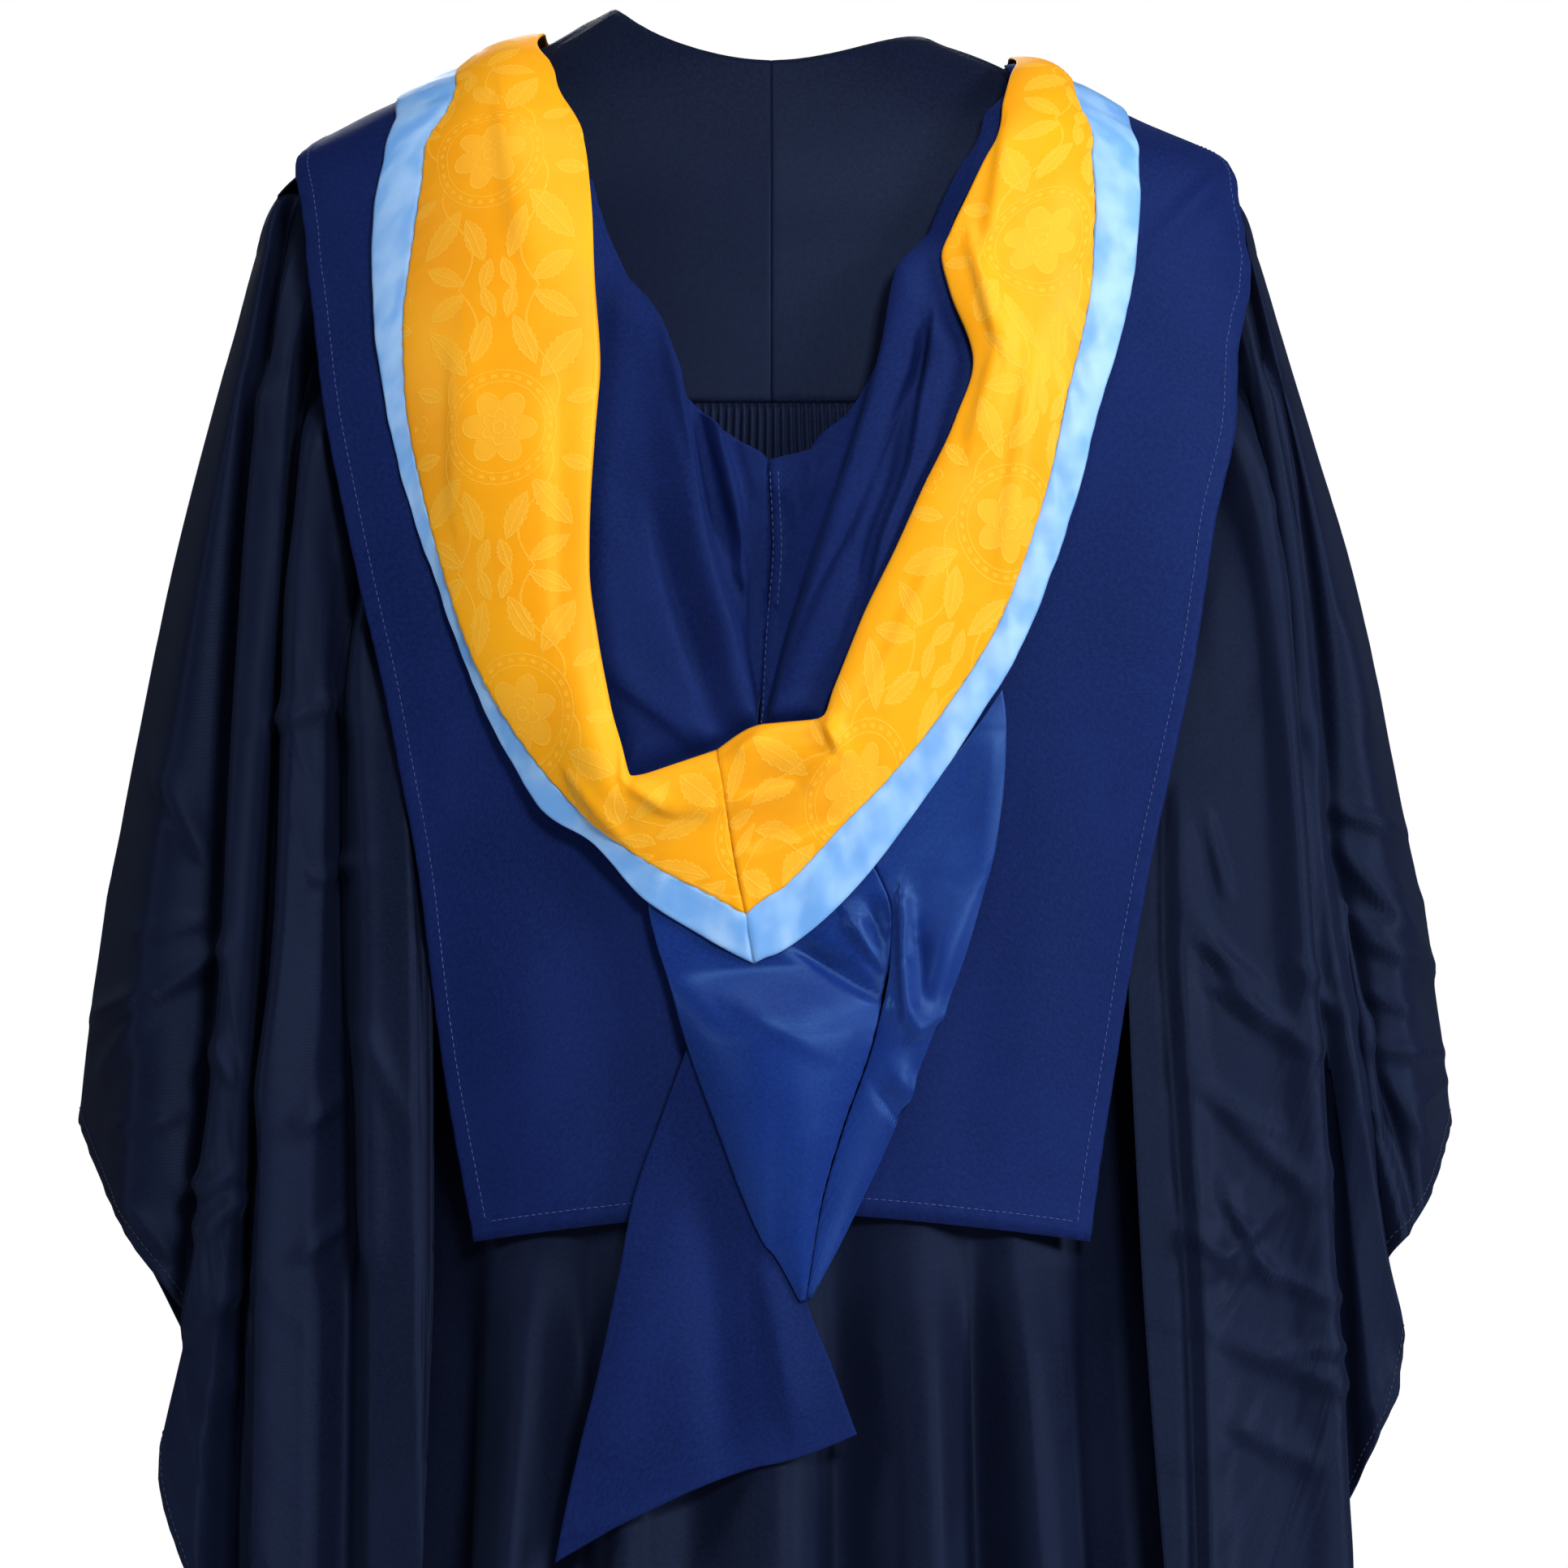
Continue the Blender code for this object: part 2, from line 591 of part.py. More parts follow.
def make_yoke(side):
    """Half of the yoke, from the seam at the back over the shoulder to the open front."""
    seam_angle = float(angle_at(BODY, np.array(SEAM_GAP / 2), 60.0, 1))
    angles = np.array([seam_angle, *YOKE_ANGLES, -FRONT_OPENING_ANGLE])
    top = np.array([neck_drop(side, angle) for angle in angles])
    armhole = armhole_top(side, angles)
    bottom = np.where(angles > 0, YOKE_DROP_BEHIND, YOKE_DROP_IN_FRONT)
    under_arm = (angles < ARMHOLE_ANGLE) & (angles > -ARMHOLE_ANGLE)
    bottom = np.where(under_arm, np.minimum(bottom, armhole), bottom) - SEAM_GAP / 2
    down = np.linspace(0, 1, YOKE_ROWS)[:, None]
    drops = top + (bottom - top) * down
    skin = lifted(BODY, on_side(side, angles[None, :]), drops, 0.0)
    wall = -GOWN_WALL if side == "left" else GOWN_WALL
    make_wall(f"gown_yoke_{side}", "gown", skin, behind_wall(skin, -wall))


def fold_growth(drop):
    """How deep the folds of the body are at each drop, 1 at the level where the table gives them."""
    return np.maximum(0, drop - FOLD_START_DROP) / (FOLD_FULL_DROP - FOLD_START_DROP)


def back_angle(across, drop):
    """Angle of a place across the back panel, from -1 at its left edge to 1 at its right edge."""
    side_gap = np.degrees((SIDE_SEAM_GAP / 2 / depth(True, drop)) ** (SECTION_POWER / 2))
    right = np.maximum(armhole_angle("right", drop), side_gap)
    left = np.maximum(armhole_angle("left", drop), side_gap)
    return 90 - across * np.where(across > 0, 90 - right, 90 - left)


def back_points(across, drop, flutes=0.0):
    """Outer points of the back panel with its broad folds and the flutes on top of them."""
    out = smooth(BACK_FOLDS["across"], BACK_FOLDS["out"], across) * fold_growth(drop)
    return lifted(BODY, back_angle(across, drop), drop, out + flutes)


def make_back():
    """The back panel: cartridge flutes under the yoke that open into broad folds."""
    steps = len(FLUTE_PROFILE)
    columns = np.arange(FLUTE_COUNT * steps + 1)
    x = (columns / steps - FLUTE_COUNT / 2) * FLUTE_PITCH
    top = YOKE_DROP_BEHIND + SEAM_GAP / 2
    fluted_angle = angle_at(BODY, x, YOKE_DROP_BEHIND, 1)
    right_span = 90 - armhole_angle("right", np.array(top))
    left_span = 90 - armhole_angle("left", np.array(top))
    fluted = np.where(x > 0, (90 - fluted_angle) / right_span, (90 - fluted_angle) / left_span)
    relief = FLUTE_HEIGHT * np.array(FLUTE_PROFILE)[(columns + 2) % steps]
    side = np.linspace(fluted[-1], 1, SIDE_COLUMNS + 1)[1:]
    fine = np.concatenate([-side[::-1], fluted, side])
    fine_relief = np.concatenate([side * 0, relief, side * 0])
    medium = np.concatenate([-side[::-1], fluted[::steps], side])
    coarse = np.concatenate([-side[::-1], fluted[:: 2 * steps], side])

    outer = []
    places = []
    for drop, strength in FLUTE_STRENGTH.items():
        level = max(drop, top)
        outer.append(back_points(fine, level, fine_relief * strength))
        places.append(fine)
    outer.append(back_points(medium, FLUTE_END_DROP))
    places.append(medium)
    for drop in BACK_DROPS:
        outer.append(back_points(coarse, float(drop)))
        places.append(coarse)
    drops = [max(drop, top) for drop in FLUTE_STRENGTH] + [FLUTE_END_DROP] + BACK_DROPS
    plain = np.stack([back_points(coarse, float(drop)) for drop in drops])
    inner = behind_wall(plain, -GOWN_WALL)
    make_wall("gown_back", "gown", outer, list(inner), False, places, [coarse] * len(drops))


def make_front(side):
    """One open front, from the yoke's seam to the hem, with soft folds."""
    drops = np.array(FRONT_DROPS, float)[:, None]
    across = np.linspace(0, 1, FRONT_COLUMNS + 1)[None, :]
    side_gap = np.degrees((SIDE_SEAM_GAP / 2 / depth(False, drops)) ** (SECTION_POWER / 2))
    start = np.maximum(armhole_angle(side, drops), side_gap)
    angles = -(start + across * (FRONT_OPENING_ANGLE - start))
    out = smooth(FRONT_FOLDS["across"], FRONT_FOLDS["out"], across) * fold_growth(drops)
    skin = lifted(BODY, on_side(side, angles), drops, out)
    wall = GOWN_WALL if side == "right" else -GOWN_WALL
    make_wall(f"gown_front_{side}", "gown", skin, behind_wall(skin, -wall))


def make_sleeve(side):
    """A bell sleeve: a tube from the armhole whose columns follow the fold lines down to the hem."""
    folds = SLEEVE_FOLDS[side]
    sign = 1 if side == "right" else -1
    names = [f"x{int(level)}" for level in LEVELS] + ["face", "out", "hem", "turn"]
    lines = np.stack([folds[name] for name in names], axis=-1)
    count = len(lines)
    whole_turn = np.zeros(len(names))
    whole_turn[-1] = 360
    around = np.concatenate([lines[-3:] - whole_turn, lines, lines[:3] + whole_turn])
    places = np.arange(count * 3) / 3
    columns = smooth(np.arange(-3, count + 3), around, places)
    widths, face, out, hem, turn = np.split(columns, [6, 7, 8, 9], axis=1)
    face, out, hem, turn = (values[:, 0] for values in (face, out, hem, turn))

    top_drop = ARMHOLE_TOP_DROP[side]
    cosine = np.cos(np.radians(turn))
    reach = np.where(cosine > 0, ARMHOLE_WIDEST_DROP - top_drop, ARMHOLE_BOTTOM_DROP - ARMHOLE_WIDEST_DROP)
    head_drop = ARMHOLE_WIDEST_DROP - (reach - SLEEVE_HEAD_GAP) * cosine
    gap_angle = SLEEVE_HEAD_GAP / (depth(True, ARMHOLE_WIDEST_DROP) * np.radians(1))
    head_angle = (ARMHOLE_ANGLE - gap_angle) * np.sin(np.radians(turn))
    head = lifted(BODY, on_side(side, head_angle), head_drop, 0.0)

    drops = head_drop + (hem - head_drop) * np.array(SLEEVE_DOWN)[:, None]
    x = np.stack([smooth(LEVELS, widths[i], drops[:, i]) for i in range(len(turn))], axis=1)
    hang = half_width(HANG, side == "right", drops)
    x = np.minimum(x, hang - 1)
    rounding = (1 - (x / hang) ** SECTION_POWER) ** (1 / SECTION_POWER)
    reach_y = depth(face >= 0, drops) * rounding
    y = -(face * reach_y + np.where(face < -0.5, -out, out))
    hanging = np.stack([sign * x, y, -drops], axis=-1)
    fall = drops - head_drop
    blend = 1 - np.exp(-fall / (30 - 15 * cosine))
    skin = hanging.copy()
    skin[..., :2] = head[..., :2] + blend[..., None] * (hanging[..., :2] - head[..., :2])
    wall = GOWN_WALL if side == "right" else -GOWN_WALL
    inner = behind_wall(skin, wall, closed=True)
    make_wall(f"gown_sleeve_{side}", "gown", skin, inner, closed=True)


def make_strip(name, finish, rows, along, across):
    """A strip of the hood between two rails that follow the hanging cloth."""
    rails = []
    for rail in "12":
        rails.append(angle_at(HANG, rows["x" + rail], rows["drop" + rail], rows["face"]))
        rails += [rows["drop" + rail], rows["lift" + rail]]
    rails.append(rows["swell"])
    knots = np.arange(len(rows["face"]))
    grid = smooth(knots, np.stack(rails, axis=-1), np.linspace(0, knots[-1], along))
    part = np.linspace(0, 1, across)
    mixed = grid[:, None, :3] + (grid[:, None, 3:6] - grid[:, None, :3]) * part[None, :, None]
    swell = grid[:, 6:] * 4 * part * (1 - part)
    skin = lifted(HANG, mixed[..., 0], mixed[..., 1], mixed[..., 2] + swell)
    outward = np.cross(*np.gradient(skin, axis=(0, 1)))
    middle = skin[along // 2, across // 2]
    flip = np.dot(outward[along // 2, across // 2], middle * [1, 1, 0]) > 0
    inner = behind_wall(skin, -HOOD_WALL if flip else HOOD_WALL)
    make_wall(name, finish, skin, inner)


def main():
    for thing in list(bpy.data.objects):
        bpy.data.objects.remove(thing)
    for side in ("left", "right"):
        make_yoke(side)
        make_front(side)
        make_sleeve(side)
    make_back()
    make_strip("hood_cape_left", "hood", CAPE_LEFT, 26, 8)
    make_strip("hood_cape_right", "hood", CAPE_RIGHT, 26, 8)
    make_strip("hood_drape_left", "hood", DRAPE_LEFT, 16, 7)
    make_strip("hood_drape_right", "hood", DRAPE_RIGHT, 18, 7)
    make_strip("hood_lining_left", "lining", LINING_LEFT, 34, 6)
    make_strip("hood_lining_right", "lining", LINING_RIGHT, 34, 6)
    make_strip("hood_ribbon_left", "ribbon", RIBBON_LEFT, 34, 3)
    make_strip("hood_ribbon_right", "ribbon", RIBBON_RIGHT, 34, 3)
    make_strip("hood_cowl_left", "hood", COWL_LEFT, 12, 7)
    make_strip("hood_cowl_right", "hood", COWL_RIGHT, 12, 5)
    make_strip("hood_liripipe", "hood", LIRIPIPE, 12, 7)


main()
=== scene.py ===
"""Dresses a packed graduation gown and its academic hood in fine cloth, and sets it in a plain studio.

Sizes in the tables are in millimetres and become metres in the meshes. +Z is up, the back faces -Y, and
left and right are the wearer's, so that -X is left. Every drop is how far a place lies below the nape.
A place on the garment is an angle round it, a drop, and a lift off the hanging cloth. Angle 0 is the
right side, 90 the back, 180 the left side.
"""

import bpy
import numpy as np
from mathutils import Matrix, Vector


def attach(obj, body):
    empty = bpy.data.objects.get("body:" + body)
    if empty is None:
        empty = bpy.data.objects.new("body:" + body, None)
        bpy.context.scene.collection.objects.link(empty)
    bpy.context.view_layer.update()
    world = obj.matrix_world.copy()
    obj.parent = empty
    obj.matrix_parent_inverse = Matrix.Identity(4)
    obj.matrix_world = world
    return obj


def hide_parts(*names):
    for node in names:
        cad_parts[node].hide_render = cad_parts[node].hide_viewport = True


bl_info = {
    "name": "Graduation gown and hood",
    "version": (1, 0, 0),
    "blender": (4, 5, 0),
    "location": "3D View > Sidebar > Gown",
    "description": "Makes the cloth of a worn graduation gown and its academic hood",
    "category": "Add Mesh",
}

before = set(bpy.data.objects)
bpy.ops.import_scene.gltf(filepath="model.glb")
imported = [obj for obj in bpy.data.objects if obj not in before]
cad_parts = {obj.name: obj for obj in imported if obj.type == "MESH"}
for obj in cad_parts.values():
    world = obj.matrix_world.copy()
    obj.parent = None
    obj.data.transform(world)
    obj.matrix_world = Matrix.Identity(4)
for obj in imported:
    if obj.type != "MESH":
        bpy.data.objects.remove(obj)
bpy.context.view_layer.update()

MILLIMETRE = 0.001
GOWN_WALL = 1.2
HOOD_WALL = 1.5
SEAM_LAP = 0.15
GOWN_HEM_WIDTH = 14.0
FACING_WIDTH = 40.0
SLEEVE_HEM_WIDTH = 8.0
CAPE_HEM_WIDTH = 10.0
CAPE_STITCH_INSET = 9.5
SLEEVE_CREASE_REACH = 4.4
SIDE_SEAM_GAP = 0.04

NECK_HALF_WIDTH = 86.0
NECK_BEHIND = 62.0
NECK_SLOT_TAPER = 0.22
YOKE_DROP_BEHIND = 187.0
YOKE_DROP_IN_FRONT = 110.0
HEM_DROP = 1240.0
FRONT_OPENING_ANGLE = 73.0

ARMHOLE_ANGLE = 25.0
ARMHOLE_WIDEST_DROP = 180.0
ARMHOLE_BOTTOM_DROP = 245.0
ARMHOLE_TOP_DROP = {"left": 20.0, "right": 30.0}
SLEEVE_HEAD_GAP = 0.5

FLUTE_COUNT = 54
FLUTE_PITCH = 4.1
FLUTE_HEIGHT = 2.4
FOLD_START_DROP = 480.0
FOLD_FULL_DROP = 800.0

SECTION_POWER = 2.6
LEVELS = (100.0, 275.0, 450.0, 620.0, 795.0, 1000.0)


def table(columns, *rows):
    """A short table as a dict from the name of each column to its values."""
    return dict(zip(columns.split(), np.array(rows, float).T))


# Half widths and depths of the whole garment, sleeves included, as it hangs.
HANG = table(
    "drop left right back front",
    (-45, 52, 20, 16, 14),
    (-33, 86, 52, 30, 25),
    (-18, 113, 82, 45, 38),
    (2, 155, 132, 64, 54),
    (33, 226, 200, 85, 72),
    (55, 263, 248, 97, 82),
    (77, 276, 261, 105, 90),
    (99, 282, 266, 110, 96),
    (143, 293, 278, 119, 104),
    (209, 313, 298, 127, 111),
    (275, 328, 318, 130, 114),
    (407, 354, 345, 136, 118),
    (562, 382, 375, 147, 125),
    (700, 386, 379, 160, 133),
    (850, 386, 379, 178, 144),
    (1000, 386, 379, 198, 157),
    (1240, 386, 379, 232, 180),
)

# Half widths of the gown's body between the sleeves. Its depths are those above.
BODY = table(
    "drop left right",
    (-45, 52, 20),
    (-33, 86, 52),
    (-18, 113, 82),
    (2, 151, 131),
    (20, 182, 164),
    (33, 192, 188),
    (60, 193, 193),
    (125, 187, 187),
    (180, 185, 185),
    (245, 190, 190),
    (407, 198, 198),
    (620, 212, 212),
    (800, 225, 225),
    (1000, 247, 247),
    (1240, 282, 282),
)

# Folds of the back panel: place across it, from -1 at the left seam to 1, and how far each stands out.
BACK_FOLDS = table(
    "across out",
    (-1.00, 0),
    (-0.90, -4),
    (-0.78, 3),
    (-0.64, 0),
    (-0.50, -9),
    (-0.41, 2),
    (-0.33, 9),
    (-0.24, -8),
    (-0.16, 5),
    (-0.07, -3),
    (0.00, 4),
    (0.06, -8),
    (0.12, 1),
    (0.18, 8),
    (0.27, -8),
    (0.35, 8),
    (0.43, 3),
    (0.51, -4),
    (0.60, -2),
    (0.70, 8),
    (0.80, -5),
    (0.90, 2),
    (1.00, 0),
)

# Folds of each front: place across it, from 0 at the side seam to 1 at the open edge.
FRONT_FOLDS = table(
    "across out",
    (0.00, 0),
    (0.14, -3),
    (0.28, 6),
    (0.42, -6),
    (0.56, 7),
    (0.70, -6),
    (0.86, 6),
    (1.00, 0),
)

# Fold lines down each sleeve, in order round it from the outside over the back. Turn is the place on
# the armhole, x100 to x1000 are distances from the middle at those drops, face is 1 behind and -1 in
# front, and out is how far the line stands out from the hanging cloth.
SLEEVE_FOLDS = {
    "left": table(
        "turn x100 x275 x450 x620 x795 x1000 face out hem",
        (0, 281, 327, 362, 380, 384, 384, 0, 0, 572),
        (12, 273, 306, 332, 344, 350, 350, 1, -3, 628),
        (25, 265, 281, 294, 302, 304, 304, 1, -28, 690),
        (40, 263, 276, 287, 299, 330, 330, 1, -3, 742),
        (52, 257, 264, 275, 287, 306, 302, 1, -5, 815),
        (65, 252, 259, 264, 276, 285, 282, 1, -29, 880),
        (80, 250, 251, 256, 273, 277, 276, 1, -2, 930),
        (95, 239, 238, 240, 246, 247, 252, 1, -5, 982),
        (112, 229, 227, 226, 223, 224, 238, 1, -24, 1000),
        (130, 222, 221, 212, 210, 210, 230, 1, -3, 990),
        (150, 211, 200, 180, 178, 183, 218, 1, -10, 970),
        (170, 196, 200, 207, 219, 234, 260, 0, 55, 950),
        (190, 196, 200, 207, 219, 234, 260, 0, -50, 900),
        (220, 214, 222, 236, 248, 258, 280, -1, -4, 850),
        (255, 236, 250, 268, 278, 286, 296, -1, -15, 780),
        (290, 256, 284, 306, 320, 326, 326, -1, -4, 700),
        (325, 272, 310, 340, 356, 360, 360, -1, -6, 628),
    ),
    "right": table(
        "turn x100 x275 x450 x620 x795 x1000 face out hem",
        (0, 265, 317, 354, 373, 377, 377, 0, 0, 573),
        (12, 259, 300, 332, 348, 352, 352, 1, -3, 618),
        (25, 254, 283, 301, 325, 330, 330, 1, -22, 652),
        (40, 252, 278, 293, 322, 352, 352, 1, -3, 684),
        (52, 250, 274, 285, 308, 326, 326, 1, -6, 735),
        (65, 247, 268, 282, 294, 305, 305, 1, -29, 775),
        (80, 246, 265, 279, 289, 299, 297, 1, -2, 820),
        (95, 240, 256, 264, 271, 278, 278, 1, -5, 890),
        (112, 232, 241, 246, 250, 254, 258, 1, -4, 970),
        (130, 226, 228, 229, 228, 232, 242, 1, -5, 1000),
        (150, 215, 206, 188, 194, 206, 226, 1, -8, 985),
        (170, 196, 201, 207, 219, 234, 260, 0, 55, 950),
        (190, 196, 201, 207, 219, 234, 260, 0, -50, 900),
        (220, 212, 220, 232, 246, 258, 280, -1, -4, 850),
        (255, 228, 246, 262, 274, 284, 296, -1, -15, 780),
        (290, 246, 278, 300, 314, 322, 322, -1, -4, 700),
        (325, 258, 302, 334, 350, 356, 356, -1, -6, 628),
    ),
}

# Strips of the hood. Each row pairs a place on the inner rail with one on the outer rail: the distance
# from the middle, the drop, the face (1 behind, 0 on the shoulder, -1 in front), the lifts of the two
# rails, and how far the cloth swells between them.
STRIP = "x1 drop1 x2 drop2 face lift1 lift2 swell"

CAPE_LEFT = table(
    STRIP,
    (-0.2, 250, -30, 268, -1, 4, 4, 0),
    (-40, 170, -88, 160, -1, 4, 4, 1),
    (-76, 80, -150, 84, -1, 4, 4, 1),
    (-98, 10, -215, 45, -1, 5.5, 4, 1),
    (-126, -11, -246, 43, 0, 4, 3.5, 1),
    (-121, 24, -251, 75, 1, 4.5, 3, 1),
    (-98, 75, -246, 117, 1, 6, 3, 1),
    (-81, 109, -240, 165, 1, 6, 3, 1),
    (-64, 147, -230, 224, 1, 6, 3, 0),
    (-47, 181, -218, 280, 1, 6, 3, 0),
    (-30, 198, -204, 339, 1, 6, 3, 0),
    (-9, 217, -196, 381, 1, 6, 2, 1),
    (-2, 290, -186, 440, 1, 6, -3, 2),
    (-2, 380, -178, 510, 1, 6, -9, 4),
    (-2, 500, -168, 575, 1, 6, -13, 6),
    (-2, 612, -158, 628, 1, 6.5, -15, 7),
)

CAPE_RIGHT = table(
    STRIP,
    (0.2, 250, 30, 268, -1, 4, 4, 0),
    (40, 170, 88, 160, -1, 4, 4, 1),
    (76, 80, 150, 88, -1, 4, 4, 1),
    (98, 14, 212, 56, -1, 5.5, 4, 1),
    (131, 3, 232, 47, 0, 4, 3.5, 1),
    (132, 17, 250, 80, 1, 4.5, 3, 1),
    (116, 40, 255, 108, 1, 5.5, 3, 1),
    (98, 66, 248, 155, 1, 6, 3, 1),
    (72, 126, 246, 198, 1, 6, 3, 0),
    (55, 168, 234, 253, 1, 6, 3, 0),
    (43, 190, 222, 330, 1, 6, 3, 0),
    (21, 211, 211, 381, 1, 6, 2, 1),
    (-1.4, 290, 198, 445, 1, 6, -2, 2),
    (-1.4, 380, 188, 505, 1, 6, -8, 4),
    (-1.4, 500, 178, 570, 1, 6, -13, 6),
    (-1.4, 612, 170, 628, 1, 6.5, -16, 7),
)

DRAPE_LEFT = table(
    STRIP,
    (-94, 70, -97, 68, 1, 8, 9, 0),
    (-84, 103, -94, 100, 1, 8, 16, 0),
    (-66, 144, -91, 132, 1, 8, 21, 0),
    (-47, 181, -93, 181, 1, 8, 24, -1),
    (-25, 203, -96, 232, 1, 8, 25, -2),
    (-2, 218, -98, 275, 1, 9, 25, -3),
    (0, 262, -95, 312, 1, 12, 25, -3),
    (-3, 302, -90, 341, 1, 15, 25, -3),
    (-5.5, 340, -84, 366, 1, 19, 25, -2),
    (-7, 365, -82, 393, 1, 23, 25, 0),
)

DRAPE_RIGHT = table(
    STRIP,
    (123.5, 6, 128.5, 5, 1, 6.5, 7, 0),
    (112, 38, 120, 36, 1, 7.5, 12, 0),
    (98, 66, 113, 60, 1, 8, 15, 0),
    (82, 102, 93, 98, 1, 8, 19, 0),
    (70, 130, 90, 126, 1, 8, 21, 0),
    (55, 168, 103, 166, 1, 8, 23, -1),
    (40, 193, 97, 190, 1, 8, 25, -2),
    (22, 211, 91, 216, 1, 8, 25, -2),
    (-2.1, 219, 81, 239, 1, 9, 25, -3),
    (-0.1, 262, 67, 272, 1, 12, 25, -3),
    (-3.1, 302, 52, 305, 1, 15, 25, -3),
    (-5.6, 340, 38, 342, 1, 19, 25, -1),
    (-7.1, 364.5, 32, 362, 1, 23, 25, 0),
)

LINING_LEFT = table(
    STRIP,
    (-56, 140, -60, 140, -1, 9, 9, 0),
    (-78, 84, -98, 88, -1, 11, 10.5, 1),
    (-99, 22, -132, 40, -1, 8.5, 11, 3),
    (-112, -3, -150, 12, -1, 8, 10, 4),
    (-120, -14.5, -163, 5.5, 0, 7, 9, 5),
    (-117, 6, -167.5, 22, 1, 9, 9.5, 6),
    (-112, 24, -176.5, 42, 1, 13, 10.5, 8),
    (-98, 53, -184, 75, 1, 20, 11, 10),
    (-94, 79, -188, 100, 1, 22, 11, 10),
    (-91, 126, -192, 132, 1, 25, 11, 10),
    (-88, 181, -192, 180, 1, 26, 11, 10),
    (-92, 232, -184, 232, 1, 27, 11, 9),
    (-93, 275, -170, 283, 1, 27, 13, 8),
    (-89, 310, -154, 326, 1, 27, 15, 7),
    (-84, 340, -135, 360, 1, 27, 18, 6),
    (-79, 366, -112, 391, 1, 27, 20, 5),
    (-72, 386, -87, 415, 1, 27, 22, 3),
    (-51, 379, -62, 432, 1, 27, 22, 2),
    (-34, 373, -34, 447, 1, 27, 22, 2),
    (-28.5, 371, -13, 458, 1, 27, 22, 1),
)

LINING_RIGHT = table(
    STRIP,
    (-28.7, 371.1, -13.2, 458.2, 1, 27, 22, 1),
    (-4, 357.5, 11, 440, 1, 27, 22, 2),
    (26, 354, 36, 413, 1, 27, 21, 2),
    (33, 337, 60, 388, 1, 27, 19, 4),
    (47, 300, 92, 348, 1, 27, 17, 6),
    (62, 268, 118, 306, 1, 27, 16, 7),
    (77, 234, 133, 266, 1, 27, 15, 8),
    (94, 198, 146, 225, 1, 27, 14, 7),
    (103, 166, 155, 184, 1, 25, 13, 7),
    (92, 134, 163, 150, 1, 23, 12, 10),
    (88, 116, 168, 124, 1, 22, 12, 10),
    (94, 98, 170, 95, 1, 21, 11, 9),
    (113, 60, 169, 60, 1, 18, 11, 8),
    (121, 34, 165, 38, 1, 15, 11, 7),
    (127, 12, 159, 21, 1, 10, 10, 6),
    (126, -0.5, 156, 12.5, 0, 7.5, 9, 4),
    (114, 8, 148, 22, -1, 8, 10, 4),
    (99, 24, 132, 44, -1, 8.5, 11, 3),
    (78, 84, 98, 90, -1, 11, 10.5, 1),
    (56, 140, 60, 140, -1, 9, 9, 0),
)

RIBBON_LEFT = table(
    STRIP,
    (-60.6, 140.2, -66, 141, -1, 9, 8.5, 0),
    (-98.7, 88.4, -112, 92, -1, 10.5, 10, 0),
    (-132.7, 40.5, -152, 50, -1, 11, 10.5, 0),
    (-150.7, 12.5, -181, 33, -1, 10, 8, 1),
    (-161.2, 4.8, -193, 18.5, 0, 9, 7.5, 1),
    (-163.8, 22, -199.5, 38, 1, 10, 8, 1),
    (-172.5, 42, -205, 60, 1, 11, 8.5, 1),
    (-182.5, 75, -209, 88, 1, 11, 9, 1),
    (-188.5, 100, -210, 110, 1, 11, 9, 1),
    (-192.5, 132, -208, 148, 1, 11, 9, 1),
    (-193.4, 180, -202, 190, 1, 11, 8, 0),
    (-186.5, 232, -190, 241, 1, 11, 7, 0),
    (-172.2, 284, -173, 290, 1, 13, 8, 0),
    (-156.2, 327, -157, 334, 1, 15, 10, 0),
    (-137, 361.4, -139, 371, 1, 18, 12, 0),
    (-113.8, 392.6, -118, 404, 1, 20, 15, 0),
    (-87.6, 415.7, -92, 421, 1, 22, 18, 0),
    (-62.2, 432.5, -68, 448, 1, 22, 18, 0),
    (-34.2, 447.5, -34, 470, 1, 22, 18, 0),
    (-13, 458.5, -8.7, 483.5, 1, 22, 18, 0),
)

RIBBON_RIGHT = table(
    STRIP,
    (-12.4, 458.5, -8.9, 483.5, 1, 22, 18, 0),
    (11.3, 440.5, 16, 470, 1, 22, 18, 0),
    (36.4, 413.4, 44, 444, 1, 21, 17, 0),
    (60.5, 388.4, 72, 408, 1, 19, 15, 0),
    (92.5, 348.3, 104, 361, 1, 17, 13, 1),
    (118.5, 306.3, 130, 318, 1, 16, 12, 1),
    (133.5, 266.3, 150, 268, 1, 15, 11, 1),
    (146.5, 225, 163, 226, 1, 14, 10, 1),
    (155.5, 184, 173, 186, 1, 13, 9, 1),
    (163.5, 150, 184, 150, 1, 12, 9, 1),
    (168.5, 124, 190, 122, 1, 12, 8, 1),
    (170.5, 95, 193, 98, 1, 11, 8, 1),
    (169.5, 60, 194, 68, 1, 11, 8, 1),
    (165.5, 38, 193, 50, 1, 11, 8.5, 1),
    (159.8, 21, 190, 37, 1, 10, 8, 1),
    (156.9, 12.8, 187, 25.5, 0, 9, 7.5, 1),
    (148.7, 22.5, 176, 39, -1, 10, 8, 1),
    (132.7, 44.5, 152, 54, -1, 11, 10.5, 0),
    (98.7, 90.4, 112, 94, -1, 10.5, 10, 0),
    (60.6, 140.2, 66, 141, -1, 9, 8.5, 0),
)

